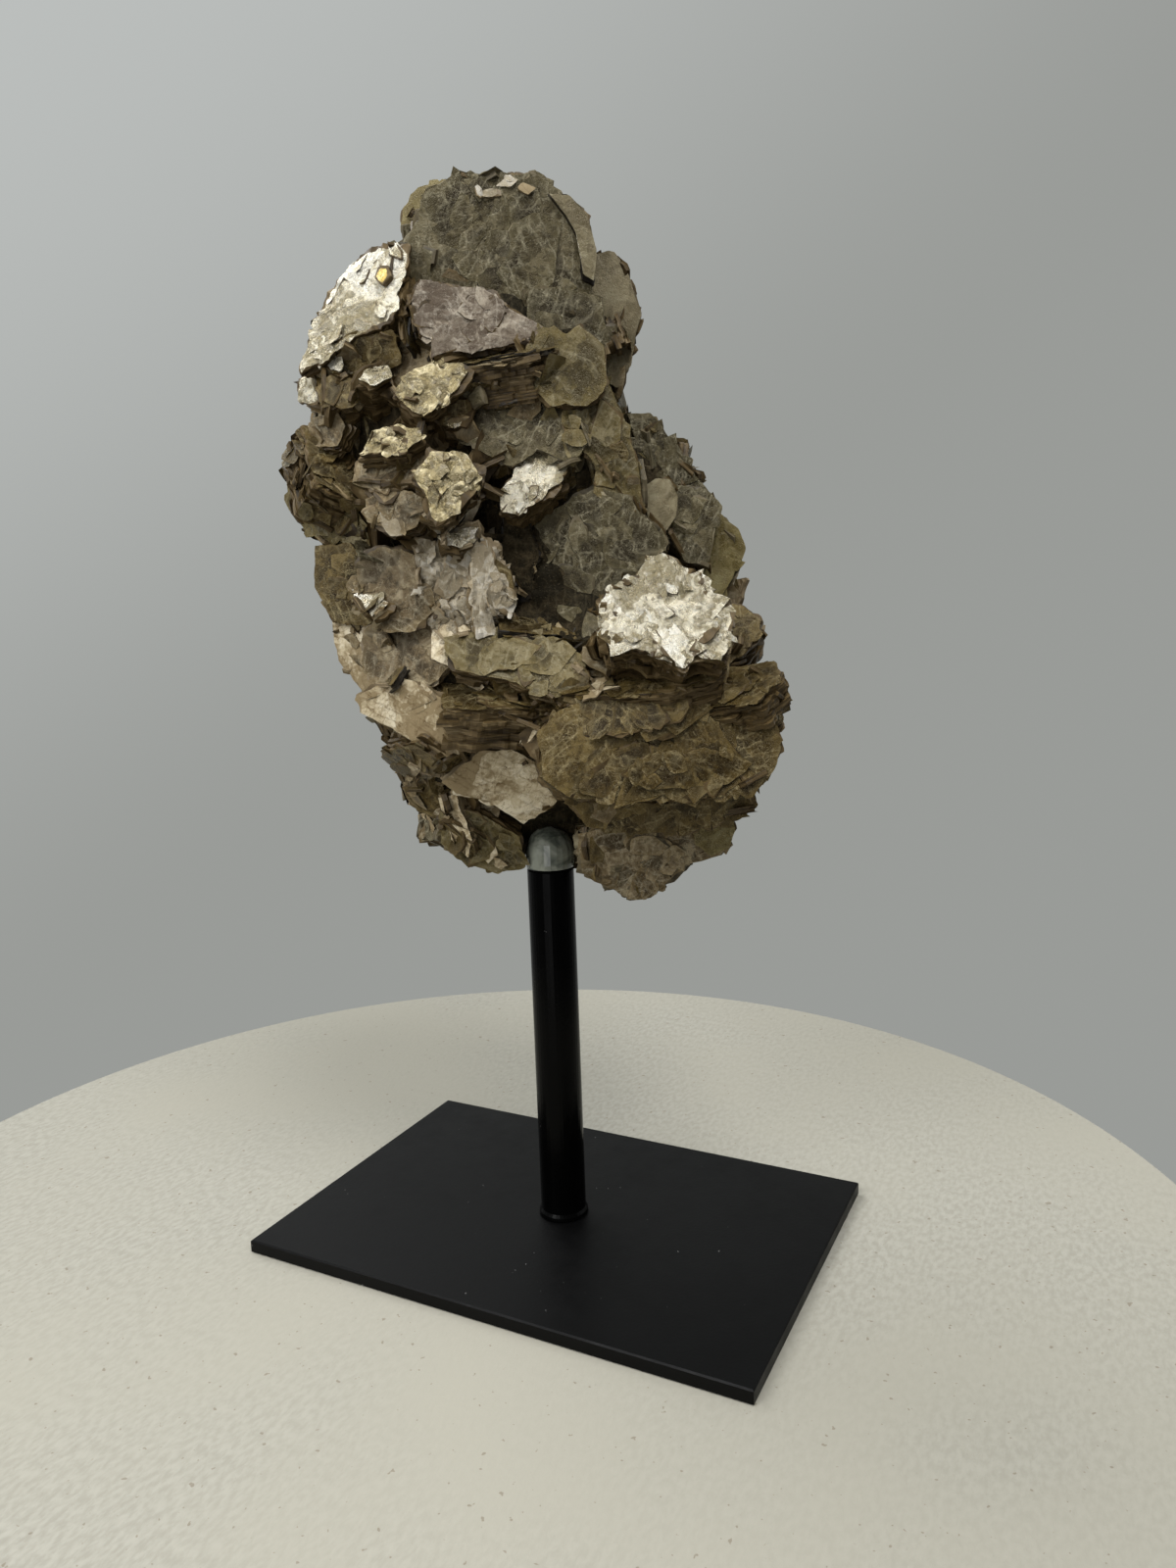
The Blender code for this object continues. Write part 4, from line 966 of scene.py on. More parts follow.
# %% Small books on the faces
FRONT_BOOKS["mica_details"] = (
    Book("neck_face", smoky, grey_pages, (8.5, -8.4, 189), (0.3, 1, 0.03), 5,
         ((-9, 7), (-3, 8), (6, 7), (7, 0), (5, -7), (0, -10), (-5, -9), (-8, -2))),
    Book("slope_upper", tan, brown_pages, (-28, -18.4, 141), (-0.1, 1, 0.12), 8,
         ((-6, 5), (-2, 8.4), (4, 7.4), (8, 3), (9, -4), (5, -8), (-2, -7.4), (-5, -2))),
    Book("slope_lower", tan, pale_pages, (-26, -17.6, 129), (-0.22, 1, 0.2), 8,
         ((-8, 5), (-4, 8), (3, 8.4), (8, 5), (10, -2), (7, -6), (1, -8.4), (-6, -6.4), (-9, -1))),
    Book("slope_bridge", cream, pale_pages, (-14, -19.6, 131), (-0.05, 1, 0.3), 7,
         ((-6, 3), (-2, 5.4), (4, 4.4), (8, 0), (6, -5), (-1, -6), (-6, -3))),
    Book("white_fringe", crust, pale_pages, (-10, -20.8, 140), (0.35, 1, 0.05), 5,
         ((-2, 8), (1.4, 8.6), (2.6, 3), (2, -3), (3, -8), (-1, -9), (-2.4, -2))),
    Book("grey_fan", smoky, grey_pages, (-30.5, -14.4, 149), (0.35, 0.6, 1), 2.6,
         ((-4, -3.4), (0, -4.6), (4.6, -2.6), (4, 3), (-4, 3))),
    # Painted shade: a thin dark book in a crack, where shade falls.
    Book("shaded_crack", umber, shade_pages, (-28.4, -18.6, 124.6), (-0.7, 0.35, 0.7), 1.6,
         ((-3.4, -2.4), (3.4, -2.4), (3.4, 2), (-3.4, 2))),
    # Painted shade: near-black pages in the hollow under the dark face.
    Book("recess_shade_pages", umber, shade_pages, (-1, -16.4, 134), (0.25, 0.5, 1), 5,
         ((-7, -3.4), (0, -4.6), (8, -4), (9, 3), (-7, 3))),
    Book("olive_lobe", olive, brown_pages, (7, -17.4, 180.5), (0.12, 1, 0.1), 6,
         ((-7, 3), (-4, 7), (0, 6), (3, 8), (7, 4), (8, -3), (4, -7), (-3, -7), (-7, -3))),
    # Painted shade: a near-black book over the hollow, where shade falls.
    Book("recess_shade", rubble_and_shade, shade_pages, (-3.4, -15.2, 147), (0.25, 1, 0), 3,
         ((-2.6, 9), (1.6, 9), (4, 2), (3, -8), (-2.6, -9))),
    # Painted shade: near-black pages in the crack under the pink ledge.
    Book("crack_under_pink", umber, shade_pages, (-4, -15.8, 183.6), (-0.16, 0.35, 1), 1.0,
         ((-10, -3), (-2, -4.2), (10, -3), (9, 3), (-9, 3))),
    # Painted shade: these two dark books stand for the shaded crack between the silver shoulder and the pink
    # ledge.
    Book("shoulder_crack", umber, brown_pages, (-21.2, -14.6, 191), (1, 0.55, 0.16), 1.5,
         ((-2.4, 3), (-0.6, 5.4), (2.8, 6), (3, -6.5), (-1.4, -5.6), (-2, -2))),
    Book("shoulder_crack_low", umber, shade_pages, (-20.6, -14.8, 188), (1, 0.35, -0.1), 0.8,
         ((-2, 2), (2.6, 4.4), (3, -4.4), (-1.6, -3))),
    # Painted highlight: a small golden gleam on the silver shoulder, standing for a glint of light.
    Book("golden_glint", gleam, brown_pages, (-26.4, -14.0, 198.5), (-0.4, 1, 0.42), 1.7,
         ((-0.6, 1.9), (0.9, 1.5), (1.2, -0.2), (0.3, -1.7), (-0.5, -1), (-1.3, 0.3))),
    Book("left_crumb", crust, pale_pages, (-6.4, -9.4, 214.4), (0.1, 1, 0.4), 2,
         ((-2, -0.8), (-1, 1.1), (1.4, 1), (1.8, -0.6), (0, -1.3))),
    Book("top_crumb", crust, pale_pages, (-2.8, -9.2, 215.8), (-0.1, 1, 0.5), 2,
         ((-2.2, -0.6), (0, 1.2), (2, 0.6), (1, -1))),
    Book("right_crumb", cream, pale_pages, (0.8, -9.2, 214.8), (0.3, 1, 0.3), 2,
         ((-1.8, -0.4), (-0.6, 1), (2.2, 0.2), (0.4, -1.2))),
    # A thin clear sheet whose near-black side is painted shade along the head's right rim.
    Book("head_edge_sheet", clear, shade_pages, (9.6, -7.5, 208.6), (0.3, 1, 0.06), 1.4,
         ((-5, 5), (-1, 5.2), (2.4, 2), (4.6, -4), (4.2, -10), (2, -9), (1.4, -3), (-1.6, 1.4))),
    Book("amber_flake", honey, brown_pages, (34, -11, 90), (0.1, 1, -0.1), 2,
         ((-4.6, 2), (-1, 4), (3.4, 4.6), (4.4, 1), (3, -3), (-1, -4.4), (-4, -2))),
    Book("pale_edge", cream, pale_pages, (7, -25.4, 121), (-0.3, 0.6, 0.9), 0.6,
         ((-9, -0.9), (-3, 0.7), (4, 0.9), (9, 0.4), (3, -0.7), (-3, -1))),
)
print(len(FRONT_BOOKS["mica_details"]), "small books on the faces")

# %% [markdown]
# ## The books round the back
#
# Nobody looks at the back one book at a time, so its books are thrown by a seeded draw: rows
# of them round a lumpy core, each leaning a little. The same seed gives the same books every
# time. The core itself is a loft through a few sections of the mass.

# %% The core's sections and the books thrown round it
Station = namedtuple("Station", "up left right front back")
CORE_STATIONS = tuple(Station(*row) for row in (
    (80, 3, 23, 3, 12), (86, -14, 29, 2, 18), (93, -24, 35, -3, 22), (103, -29, 42, -14, 26),
    (115, -33, 43, -20, 29), (128, -36, 40, -19, 31), (142, -39, 38, -14, 31), (156, -44, 35, -13, 30),
    (169, -43, 25, -15, 27), (181, -42, 14, -15, 23), (193, -36, 17, -11, 19), (203, -25, 11, -4, 15),
    (213, -19, 8, 1, 11), (218, -10, 3, 3, 8),
))
CORE_SQUARENESS = 2.6
BACK_ROWS = (
    # height, how many books, the first and last bearing in degrees (0 is the front, 90 the right)
    (206, 3, 90, 270), (193, 5, 90, 275), (178, 5, 88, 275), (163, 6, 84, 276), (148, 6, 84, 276),
    (133, 6, 84, 276), (118, 6, 88, 274), (104, 5, 88, 272), (93, 4, 110, 236),
)
BACK_LOOKS = (
    (smoky, grey_pages), (umber, brown_pages), (umber, brown_pages), (olive, brown_pages),
    (tan, brown_pages), (smoky, grey_pages), (cream, pale_pages), (gilt, brown_pages),
)
BACK_SEED = 3
DRAWS_BEFORE_BACK = 2 * 14 * 14  # taken first by the roughness of the solid's own core, two for each corner
SIDE_SHARE = 0.45      # how little a book stands out, leans and spreads at the sides
BACK_WANDER = 0.2      # of the room between two books
BACK_LEAN = 0.6
BACK_PROUD, BACK_RADIUS, BACK_THICK = (1.0, 4.0), (10.0, 15.0), (8.0, 11.0)  # mm
BACK_STRETCH = 0.28


def station_at(up):
    """The core's section at any height."""
    rows = np.array(CORE_STATIONS, float)
    return Station(up, *(np.interp(up, rows[:, 0], rows[:, k]) for k in range(1, 5)))


def core_point(station, bearing):
    """A point (right, away) on the section: bearing 0 is the front, 90 degrees the right."""
    across, along = np.sin(bearing), np.cos(bearing)
    reach = (abs(across) ** CORE_SQUARENESS + abs(along) ** CORE_SQUARENESS) ** (-1 / CORE_SQUARENESS)
    right = (station.left + station.right) / 2 + reach * across * (station.right - station.left) / 2
    away = (station.front + station.back) / 2 - reach * along * (station.back - station.front) / 2
    return right, away


def broken_outline(draw, radius, stretch):
    """As broken_corners, but drawn the way the solid's own back books were."""
    corners = draw.randint(5, 8)
    start = draw.uniform(0, 2 * math.pi)
    long_way = draw.uniform(0, math.pi)
    outline = []
    for i in range(corners):
        angle = start + 2 * math.pi * (i + draw.uniform(-0.3, 0.3)) / corners
        reach = radius * (1 + stretch * math.cos(2 * (angle - long_way))) * draw.uniform(0.78, 1.15)
        outline.append((reach * math.cos(angle), reach * math.sin(angle)))
    return tuple(outline)


def back_books():
    """Books laid against the sides and back of the core, leaning a little every way."""
    draw = random.Random(BACK_SEED)
    for _ in range(DRAWS_BEFORE_BACK):
        draw.random()
    looks = random.Random(BACK_SEED)
    books = []
    for up, count, first, last in BACK_ROWS:
        station = station_at(up)
        for i in range(count):
            along = (i + draw.uniform(-BACK_WANDER, BACK_WANDER)) / (count - 1)
            bearing = math.radians(first + (last - first) * along)
            right, away = core_point(station, bearing)
            share = SIDE_SHARE + (1 - SIDE_SHARE) * max(0.0, -math.cos(bearing))
            lean = [share * draw.uniform(-BACK_LEAN, BACK_LEAN) for _ in range(3)]
            facing = (math.sin(bearing) + lean[0], math.cos(bearing) + lean[1], lean[2])
            proud = share * draw.uniform(*BACK_PROUD)
            right, away = right + proud * math.sin(bearing), away - proud * math.cos(bearing)
            at = (right, away, up + draw.uniform(-2, 2))
            radius = (0.4 + 0.6 * share) * draw.uniform(*BACK_RADIUS)
            thick = draw.uniform(*BACK_THICK)
            face, pages = looks.choice(BACK_LOOKS)
            outline = broken_outline(draw, radius, BACK_STRETCH)
            books.append(Book(f"back_book_{len(books):02d}", face, pages, at, facing, thick, outline))
    return books


BACK_BOOKS = back_books()
print(len(BACK_BOOKS), "books round the back")

# %% [markdown]
# ## From arrays to pieces
#
# Each book is a few NumPy arrays. Joining the arrays of a whole group and handing them to
# Blender at once is far quicker than making a hundred objects and joining those. The values
# for the shader go in as attributes on the same points.
#
# The faces of a dull book are shaded smooth, but its side and the crumpled foil must stay
# crisp. Flat shading alone isn't enough: a point that a flat and a smooth face share would
# still round the face off at its rim. So every edge of a flat face is marked sharp.

# %% Joining books into one piece
CARRIED = ("place", "tone", "crest", "thin")
CRUMPLED = (silver, gilt, crust, gleam)


def into_stand_frame(points):
    """From the specimen's frame, in mm, to the stand's frame, in metres."""
    c, s = math.cos(SPECIMEN_TURN), math.sin(SPECIMEN_TURN)
    return points @ np.array(((c, s, 0), (-s, c, 0), (0, 0, 1))) * MM


def new_piece(name, mesh, finishes):
    """An object in the scene, with a slot for each finish."""
    for finish in finishes:
        mesh.materials.append(finish)
    made = bpy.data.objects.new(name, mesh)
    bpy.context.scene.collection.objects.link(made)
    return made


def mesh_of(name, points, quads, tris, slots, flat, carried_values):
    """A mesh from arrays; slots and flat give a value for each quad and then each triangle."""
    mesh = bpy.data.meshes.new(name)
    mesh.vertices.add(len(points))
    mesh.vertices.foreach_set("co", points.ravel())
    corners = np.concatenate((quads.ravel(), tris.ravel()))
    sizes = np.concatenate((np.full(len(quads), 4), np.full(len(tris), 3)))
    mesh.loops.add(len(corners))
    mesh.loops.foreach_set("vertex_index", corners)
    mesh.polygons.add(len(sizes))
    mesh.polygons.foreach_set("loop_start", np.concatenate(([0], np.cumsum(sizes)[:-1])))
    mesh.polygons.foreach_set("material_index", slots)
    mesh.update(calc_edges=True)
    mesh.polygons.foreach_set("use_smooth", ~flat)
    edge_of_corner = np.empty(len(corners), np.int32)
    mesh.loops.foreach_get("edge_index", edge_of_corner)
    crisp = np.zeros(len(mesh.edges), bool)
    crisp[edge_of_corner[np.repeat(flat, sizes)]] = True
    mesh.edges.foreach_set("use_edge_sharp", crisp)
    for key, values in carried_values.items():
        kind, field = ("FLOAT_VECTOR", "vector") if values.ndim == 2 else ("FLOAT", "value")
        mesh.attributes.new(key, kind, "POINT").data.foreach_set(field, values.ravel())
    mesh.validate()
    return mesh


def mica_piece(mesh, finishes):
    """A piece that stands for the solid of the mica."""
    made = new_piece(mesh.name, mesh, finishes)
    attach(made, "root")
    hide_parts("mica_cluster")


def join_books(name, built):
    """One piece from many built books, with a material slot for each finish they use."""
    finishes = list(dict.fromkeys(b[part] for b in built for part in ("face", "pages")))
    start = 0
    rows = []
    for b in built:
        face, pages = finishes.index(b["face"]), finishes.index(b["pages"])
        crumpled = b["face"] in CRUMPLED
        rows.append((
            b["quads"] + start, b["tris"] + start,
            np.where(b["quad_side"], pages, face), np.where(b["tri_side"], pages, face),
            b["quad_side"] | crumpled, b["tri_side"] | crumpled,
        ))
        start += len(b["points"])
    quads, tris, quad_slots, tri_slots, quad_flat, tri_flat = (np.concatenate(g) for g in zip(*rows))
    values = {"sheet_" + key: np.concatenate([b[key] for b in built]) for key in CARRIED}
    points = into_stand_frame(np.concatenate([b["points"] for b in built]))
    slots, flat = np.concatenate((quad_slots, tri_slots)), np.concatenate((quad_flat, tri_flat))
    mica_piece(mesh_of(name, points, quads, tris, slots, flat, values), finishes)
    print(f"{name}: {len(built)} books, {2 * len(quads) + len(tris)} triangles")


print("a book carries", ", ".join(CARRIED), "at each of its points")

# %% [markdown]
# Now the pieces are made: one for each group of the front table, with the loose scraps that
# lie on its faces, and two for the back, where a coarser step and a third of the scraps are
# enough. Every book has a seed of its own, so changing one book leaves the others alone.

# %% The books as pieces
BACK_STEP = 1.0                   # mm
FRONT_PROUD, BACK_SCRAP_PROUD = 1.0, 0.9  # mm that a scrap may stand out of the solid
for region, (name, books) in enumerate(FRONT_BOOKS.items()):
    built = []
    for i, book in enumerate(books):
        seed = 100 * region + i + 1
        built += [build_book(book, seed)] + [tucked(b, FRONT_PROUD) for b in loose_sheets(book, seed)]
    join_books(name, built)
for part, half in enumerate((BACK_BOOKS[::2], BACK_BOOKS[1::2])):
    built = []
    for i, book in enumerate(half):
        seed = 2000 + 100 * part + i
        scraps = loose_sheets(book, seed)[::3]
        built += [build_book(book, seed, BACK_STEP)] + [tucked(b, BACK_SCRAP_PROUD) for b in scraps]
    join_books(f"mica_back_{part + 1}", built)

# %% [markdown]
# ## The mass between the books
#
# Behind the books is a crumbly dark mass of small flakes; its near-black finish is partly
# painted shade, as in the hollows. A skin is lofted through the sections of the core, and
# noise makes it lumpy. It is one closed skin too: rings of points with a fan at each end, so
# the helper that makes the faces of a book makes these as well.

# %% The lumpy core
CORE_ROUND, CORE_TALL = 150, 130
bearings = np.linspace(0, 2 * math.pi, CORE_ROUND, endpoint=False)
heights = np.linspace(CORE_STATIONS[0].up + 0.5, CORE_STATIONS[-1].up - 0.5, CORE_TALL)
rings = []
for up in heights:
    right, away = core_point(station_at(up), bearings)
    rings.append(np.column_stack((right, away, np.full(CORE_ROUND, up))))
skin = np.concatenate(rings)
centre = np.concatenate([np.repeat(r.mean(axis=0)[None], CORE_ROUND, axis=0) for r in rings])
outwards = (skin - centre) / np.linalg.norm(skin - centre, axis=1)[:, None]
lumps = 0.9 * ripples(skin, 8.0, 71, 3) + 1.6 * (creases(skin, 3.1, 77) - 0.8) - 0.4
skin = skin + outwards * lumps[:, None]
core_points = np.concatenate((rings[0].mean(axis=0)[None], skin, rings[-1].mean(axis=0)[None]))
core_quads, bottom_fan, top_fan = ring_faces(CORE_ROUND, CORE_TALL, 0)
core_quads = core_quads[:, ::-1]  # its rings go up, where a book's go down, so each face is turned round
core_fans = np.concatenate((bottom_fan, top_fan))[:, ::-1]
nothing = np.zeros(len(core_points))
core_values = {"sheet_" + key: nothing for key in CARRIED} | {"sheet_place": core_points / 10.0}
one_slot = np.zeros(len(core_quads) + len(core_fans), int)
never_flat = np.zeros(len(one_slot), bool)
core_points = into_stand_frame(core_points)
core_mesh = mesh_of("mica_core", core_points, core_quads, core_fans, one_slot, never_flat, core_values)
mica_piece(core_mesh, (rubble_and_shade,))
print("core:", len(core_mesh.polygons), "faces")

# %% [markdown]
# Loose flakes are sown over the mass: many in the valleys where two books meet, because
# that is where broken pieces stay lodged, and the rest anywhere. The valleys are read from
# the solid itself: an edge whose two faces form a hollow is a valley. Blender's particles
# could scatter them, but a list of places can be tested one by one before a flake is made.

# %% Where loose flakes lodge
VALLEY_ANGLE = 0.45    # radians between the faces of a hollow that holds a flake
VALLEY_SPACING = 4.4   # mm
OPEN_FLAKES = 1200
FLAKE_SEED = 11


def valleys(node, spacing, draw):
    """Points in mm along the hollow edges of a solid, in the specimen's frame, and a way out."""
    solid = bmesh.new()
    solid.from_mesh(node.data)
    bmesh.ops.remove_doubles(solid, verts=solid.verts, dist=1e-6)
    places, ways = [], []
    for edge in solid.edges:
        if len(edge.link_faces) != 2 or edge.is_convex or edge.calc_face_angle(0) < VALLEY_ANGLE:
            continue
        start, end = (v.co for v in edge.verts)
        way = (edge.link_faces[0].normal + edge.link_faces[1].normal).normalized()
        length = (end - start).length / MM
        for _ in range(int(length / spacing + draw.random())):
            places.append(start.lerp(end, draw.random()) / MM)
            ways.append(way)
    solid.free()
    return np.array(places) @ INTO_SPECIMEN_FRAME, np.array(ways) @ INTO_SPECIMEN_FRAME


def spread_over(node, count, draw):
    """Points in mm spread evenly over a solid's faces, in the specimen's frame, and the way out."""
    node.data.calc_loop_triangles()
    corners = np.array([[node.data.vertices[v].co for v in t.vertices] for t in node.data.loop_triangles])
    sides = np.cross(corners[:, 1] - corners[:, 0], corners[:, 2] - corners[:, 0])
    areas = np.linalg.norm(sides, axis=1)
    chosen = draw.choice(len(areas), count, p=areas / areas.sum())
    weights = draw.dirichlet((1, 1, 1), count)[:, :, None]
    ways = sides[chosen] / areas[chosen, None]
    places = (corners[chosen] * weights).sum(axis=1) @ INTO_SPECIMEN_FRAME / MM
    return places, ways @ INTO_SPECIMEN_FRAME


flake_draw = np.random.default_rng(FLAKE_SEED)
hollow_places, hollow_ways = valleys(MASS_SOLID, VALLEY_SPACING, flake_draw)
open_places, open_ways = spread_over(MASS_SOLID, OPEN_FLAKES, flake_draw)
print(len(hollow_places), "places in the valleys between books and", len(open_places), "in the open")

# %% [markdown]
# A loose flake is a small book: a few pages, a broken outline, and a way of facing that
# leans from its neighbours. The same builder makes it with a coarser step, so it costs only
# a hundred triangles or so. It takes the finish of one of the three nearest books, as a
# broken piece of one would. Beside a silver, gilt or clear book, and a quarter of the time
# elsewhere, it is tan or umber, or the mass would glitter all over.

# %% Sowing the loose flakes
ALL_BOOKS = [b for books in FRONT_BOOKS.values() for b in books] + BACK_BOOKS
BOOK_PLACES = np.array([b.at for b in ALL_BOOKS], float)
BOOK_REACH = np.array([np.mean([math.hypot(*p) for p in b.outline]) for b in ALL_BOOKS])
NEIGHBOURS, BROWN_SHARE = 3, 0.25
FLAKE_THICK, FLAKE_STRETCH, FLAKE_LEAN = (0.3, 1.0), 0.35, 0.34
FLAKE_PROUD = 0.9                 # mm that a flake may stand out of the solid
GLUE_CLEAR, GLUE_HIGH = 10.0, 98  # mm from the post's middle, and above the table


def flake_looks(place, draw):
    """The finishes of one of the books nearby, or a brown pair."""
    gap = np.linalg.norm(BOOK_PLACES - place, axis=1) / BOOK_REACH
    near = ALL_BOOKS[np.argsort(gap)[draw.integers(NEIGHBOURS)]]
    if near.face in (silver, gilt, clear) or draw.random() < BROWN_SHARE:
        return (tan, brown_pages) if draw.random() < 0.5 else (umber, brown_pages)
    return near.face, near.pages


def loose_flake(place, way, size, draw, number):
    """A flake at the place, lying roughly square to the way."""
    right, away, up = way + draw.normal(0, FLAKE_LEAN, 3)
    face, pages = flake_looks(place, draw)
    thick = draw.uniform(*FLAKE_THICK) + 0.08 * size
    at = place + way * draw.uniform(-0.4, 0.9) * min(size, 3.0) * 0.5
    outline = broken_corners(draw, size, FLAKE_STRETCH)
    return Book(f"flake_{number}", face, pages, tuple(at), (right, -away, up), thick, outline)


def sow(places, ways, sizes, first, draw):
    """Built flakes at these places, leaving the foot free for the glue."""
    built = []
    for number, (place, way) in enumerate(zip(places, ways)):
        near_glue = np.hypot(place[0], place[1]) < GLUE_CLEAR and place[2] < GLUE_HIGH
        if near_glue or over_a_clean_face(place, CLEAN_BOOKS):
            continue
        size = sizes[0] + (sizes[1] - sizes[0]) * draw.power(0.6)  # more small ones than large
        flake = loose_flake(place, way, size, draw, first + number)
        built.append(tucked(build_book(flake, first + number, step=max(0.95, 0.42 * size)), FLAKE_PROUD))
    return built


CLEAN_NAMES = (  # books whose faces stay free of flakes
    "head_face head_side_sheet pink_ledge silver_shoulder silver_star silver_tile hanging_flake cream_face "
    "lower_left_plate right_clear_flake grey_disc dark_face lower_right_face pale_brow gold_ledge"
).split()
CLEAN_BOOKS = [b for b in ALL_BOOKS if b.name in CLEAN_NAMES]
loose = sow(hollow_places, hollow_ways, (1.4, 4.2), 5000, flake_draw)
loose += sow(open_places, open_ways, (2.0, 5.5), 9000, flake_draw)
for part in range(2):  # two pieces, so that neither is too heavy
    join_books(f"mica_flakes_{part + 1}", loose[part::2])

# %% [markdown]
# ## The stand
#
# A steel plate and a round bar welded to it, all painted black. The paint is satin: it shows
# a soft reflection, a slight unevenness and faint dust, and on the bar it is glossier. An
# image of dust could be laid on, but noise cut to its peaks gives specks of any size. The
# solids of the stand are already the right shape, so they stay, and only get the paint.

# %% Black satin paint
DUST = (0.3, 0.3, 0.29)


def paint_finish(name, rough, base, shine):
    """Paint of the base colour: rough is its roughness, shine the strength of its gloss."""
    material, tree, shader = new_finish(name, Specular_IOR_Level=shine)
    where = object_place(tree)
    cloud = between(tree, speckle(tree, where, 40.0, 5.0), 0.35, 0.75)
    colour = colour_mix(tree, cloud, base, tuple(c * 1.6 for c in base))
    dust = between(tree, speckle(tree, where, 900.0, 2.0), 0.74, 0.78)
    scatter = between(tree, speckle(tree, where, 90.0, 2.0), 0.52, 0.62)
    set_colour(tree, shader, colour_mix(tree, times(tree, times(tree, dust, scatter), 0.5), colour, DUST))
    vary_roughness(tree, shader, speckle(tree, where, 160.0, 4.0), rough - 0.06, rough + 0.08)
    set_relief(tree, shader, speckle(tree, where, 1400.0, 3.0), 0.12, 0.0002)
    return material


def dress(node, finish):
    """Gives a solid of the frame its finish."""
    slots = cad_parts[node].material_slots
    for slot in slots:
        slot.material = finish
    print(node, "gets", finish.name, "on", len(slots), "slot")


plate_paint = paint_finish("plate_paint", 0.42, (0.001, 0.001, 0.0011), 0.12)
bar_paint = paint_finish("bar_paint", 0.2, (0.0006, 0.0006, 0.0006), 0.06)
dress("base_plate", plate_paint)
dress("post", bar_paint)

# %% [markdown]
# ## The glue
#
# A dome of grey-green epoxy holds the crystal on the bar. It is glossy and cloudy. Real
# transmission would show the bar's end through it, but so little of the dome can be seen
# that an opaque cloudy colour under a clear coat does the same and renders faster.

# %% The glue
glue, tree, shader = new_finish("clear_glue", Roughness=0.12, IOR=1.5, Coat_Weight=0.6, Coat_Roughness=0.05)
cloud = between(tree, speckle(tree, object_place(tree), 260.0, 4.0, 0.6), 0.35, 0.65)
set_colour(tree, shader, colour_mix(tree, cloud, (0.05, 0.058, 0.046), (0.2, 0.21, 0.17)))
dress("glue_bead", glue)

# %% [markdown]
# ## The table, the backdrop and the light
#
# The stand is on a small round table under natural cotton cloth. The top is a flat disc, and
# its edge is pulled down a little so that it doesn't look like paper. A woven cloth could be
# modelled thread by thread, but from here a thread is thinner than a pixel, so noise
# stretched one way, as fine as the threads, gives the weave.

# %% The table
TABLE_RADIUS = 0.157
TABLE_MIDDLE = (-0.0137, -0.0064)
TABLE_DROP = 0.04
TABLE_CORNERS = 180
table_rim = [
    (TABLE_MIDDLE[0] + TABLE_RADIUS * math.cos(a), TABLE_MIDDLE[1] + TABLE_RADIUS * math.sin(a))
    for a in np.linspace(0, 2 * math.pi, TABLE_CORNERS, endpoint=False)
]
table = bmesh.new()
top = table.faces.new([table.verts.new((x, y, 0)) for x, y in table_rim])
skirt = bmesh.ops.extrude_face_region(table, geom=[top])
for v in (g for g in skirt["geom"] if isinstance(g, bmesh.types.BMVert)):
    v.co.z -= TABLE_DROP
bmesh.ops.recalc_face_normals(table, faces=table.faces)
table_mesh = bpy.data.meshes.new("table_cloth")
table.to_mesh(table_mesh)
table.free()
cloth, tree, shader = new_finish("cotton_cloth", Roughness=0.9)
where = object_place(tree)
weave = speckle(tree, stretched(tree, where, (1.0, 0.5, 1.0)), 900.0, 3.0)
fleck = between(tree, speckle(tree, where, 520.0, 2.0), 0.685, 0.72)
broad = speckle(tree, where, 9.0, 3.0)
colour = colour_mix(tree, between(tree, weave, 0.3, 0.7), (0.345, 0.332, 0.282), (0.425, 0.412, 0.356))
colour = colour_mix(tree, between(tree, broad, 0.35, 0.7), colour, (0.405, 0.388, 0.325))
set_colour(tree, shader, colour_mix(tree, times(tree, fleck, 0.6), colour, (0.2, 0.16, 0.11)))
set_relief(tree, shader, weave, 0.25, 0.0004)
new_piece("table_cloth", table_mesh, (cloth,))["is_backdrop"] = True
print("table", 2 * TABLE_RADIUS, "m across, with", len(table_mesh.polygons), "faces")

# %% [markdown]
# Mica needs lamps placed with care, because a sheet flashes only when it mirrors one of them
# to the eye. Two soft lamps do that: one high and in front for the up-tilted sheets, and one
# from the left for the silver shoulder. The others are weak and only lift the shadows. A
# sun and a bright sky would be simpler, but every face would then shine alike.

# %% The light
WHITE = (1, 1, 1)
CRYSTAL = Vector((0.0, 0.0, 0.15))


def in_specimen_way(right, front, up):
    """A direction given as the table of books gives it."""
    return Matrix.Rotation(SPECIMEN_TURN, 3, "Z") @ Vector((right, -front, up)).normalized()


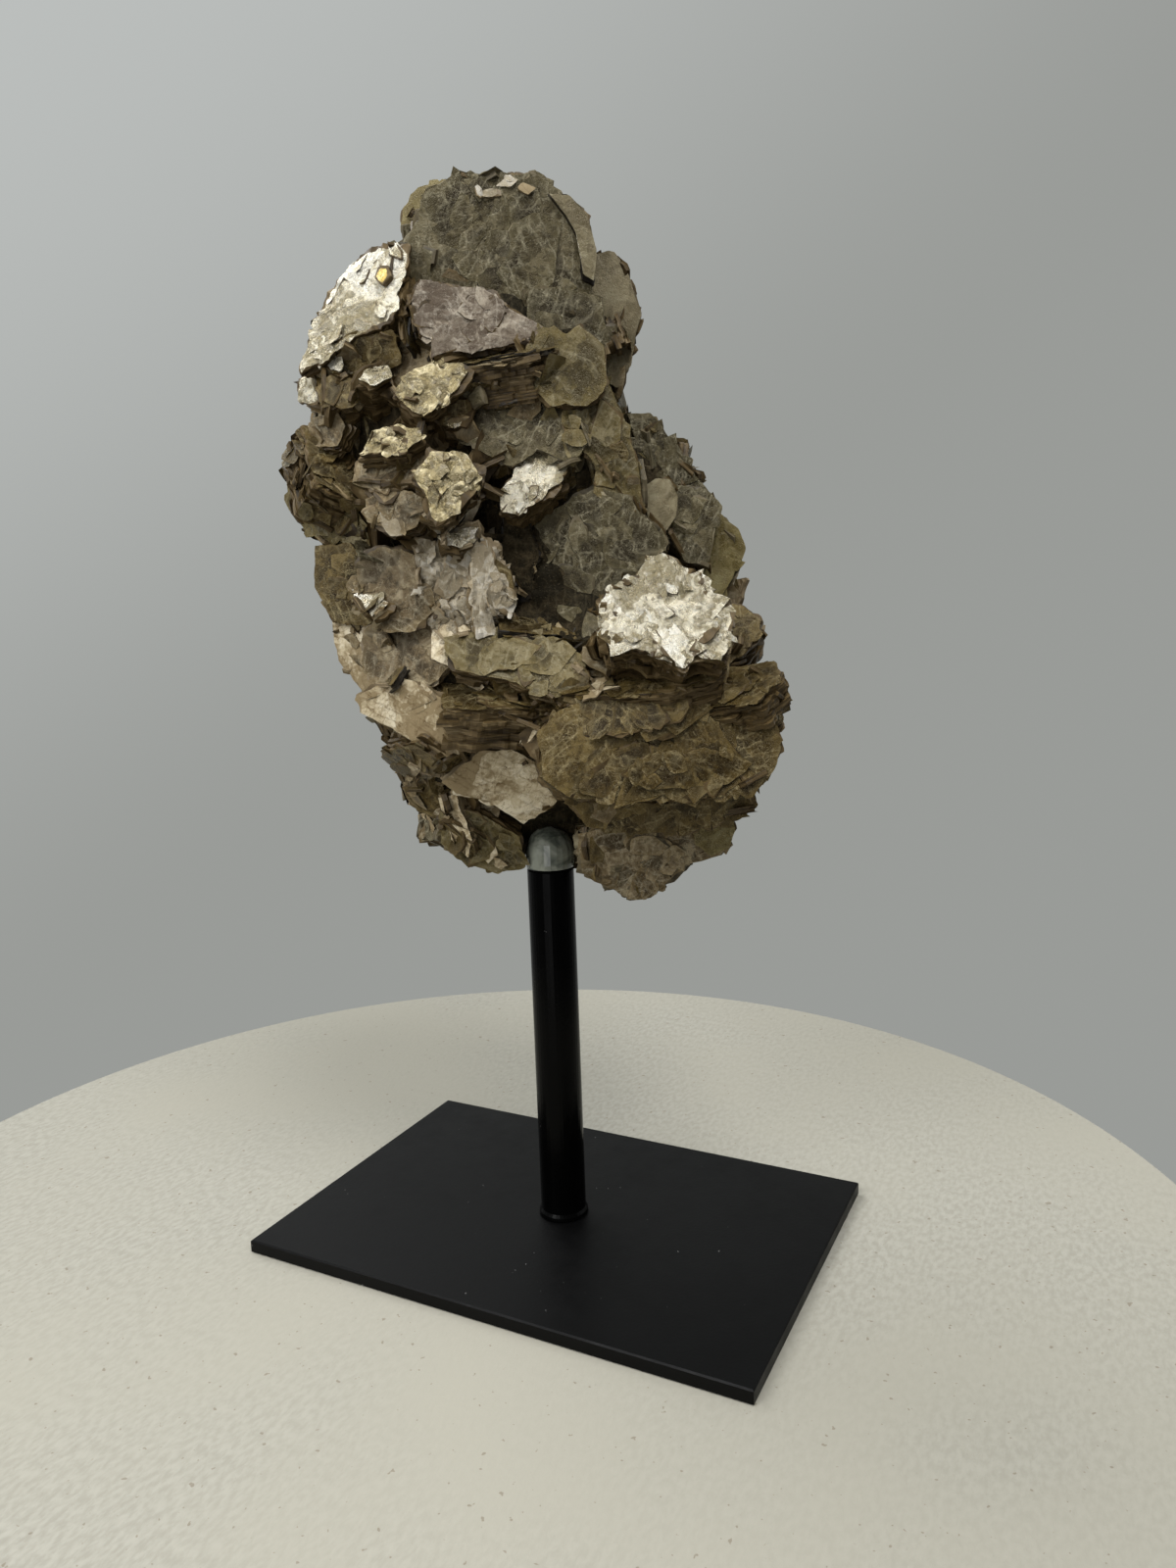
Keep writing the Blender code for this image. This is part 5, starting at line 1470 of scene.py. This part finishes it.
LAMPS = (
    # name, place, what it lights, width of its disc in metres, watts, colour
    ("flash_lamp", CRYSTAL + 0.7 * in_specimen_way(0.23, 0.5, 0.83), CRYSTAL, 0.28, 3.4, (1.0, 0.99, 0.97)),
    ("shoulder_lamp", CRYSTAL + 0.7 * in_specimen_way(-0.63, 0.58, 0.51), CRYSTAL, 0.4, 2.9, WHITE),
    ("ceiling", (-0.8, 0.3, 1.1), (0, 0, 0), 0.8, 6.5, WHITE),
    ("low_fill", CRYSTAL + 0.6 * in_specimen_way(-0.3, 0.9, -0.1), CRYSTAL, 0.5, 0.7, WHITE),
    ("right_fill", (0.9, 0.5, 0.4), CRYSTAL, 0.7, 0.75, (0.97, 0.99, 1.0)),
)


def area_light(name, at, towards, size, power, colour):
    """A soft round lamp, turned towards what it lights."""
    lamp = bpy.data.lights.new(name, "AREA")
    lamp.shape = "DISK"
    lamp.size = size
    lamp.energy = power
    lamp.color = colour
    made = bpy.data.objects.new(name, lamp)
    bpy.context.scene.collection.objects.link(made)
    made.location = at
    made.rotation_euler = (Vector(towards) - Vector(at)).to_track_quat("-Z", "Y").to_euler()


for row in LAMPS:
    area_light(*row)
    print(f"{row[0]}: {row[4]} W")

# %% [markdown]
# The room is a plain grey, lighter behind the specimen than behind the viewer, as in a small
# light tent with an open front, and lighter still to the left. A dark front is what keeps
# the smoky faces deep: they mirror it. Walls could be built, but the world can be shaded by
# direction alone, so a dot product with the way we look is enough.

# %% The room
world = bpy.data.worlds.new("grey_room")
bpy.context.scene.world = world
world.use_nodes = True
bpy.context.scene.view_settings.view_transform = "Standard"
tree = world.node_tree


def towards_share(direction, low, high):
    """0 to 1 as the way a ray looks comes closer to the direction."""
    along = add_node(tree, "VectorMath", operation="DOT_PRODUCT")
    along.inputs[1].default_value = tuple(direction)
    tree.links.new(add_node(tree, "TexCoord").outputs["Generated"], along.inputs[0])
    return between(tree, along.outputs["Value"], low, high)


ahead = towards_share(-backwards.normalized(), -0.3, 0.85)
room = colour_mix(tree, ahead, (0.1, 0.1, 0.1), (0.32, 0.33, 0.315))
upper_left = towards_share(upright @ Vector((-0.55, 0.83, 0.0)), 0.1, 0.8)
room = colour_mix(tree, upper_left, room, (0.52, 0.54, 0.53))
tree.links.new(room, tree.nodes["Background"].inputs["Color"])
print("the room has", len(tree.nodes), "nodes, and", len(bpy.data.lights), "lamps light it")

# %% [markdown]
# ## The size
#
# The dressed specimen has to stay inside the box of the solids, or very nearly, so both
# boxes are printed at the end.

# %% Size and finish
sizes = {
    "solids": [list(corner) for corner in solid_box],
    "dressed": [list(corner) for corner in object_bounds()],
}
show_box("solids ", sizes["solids"])
show_box("dressed", sizes["dressed"])
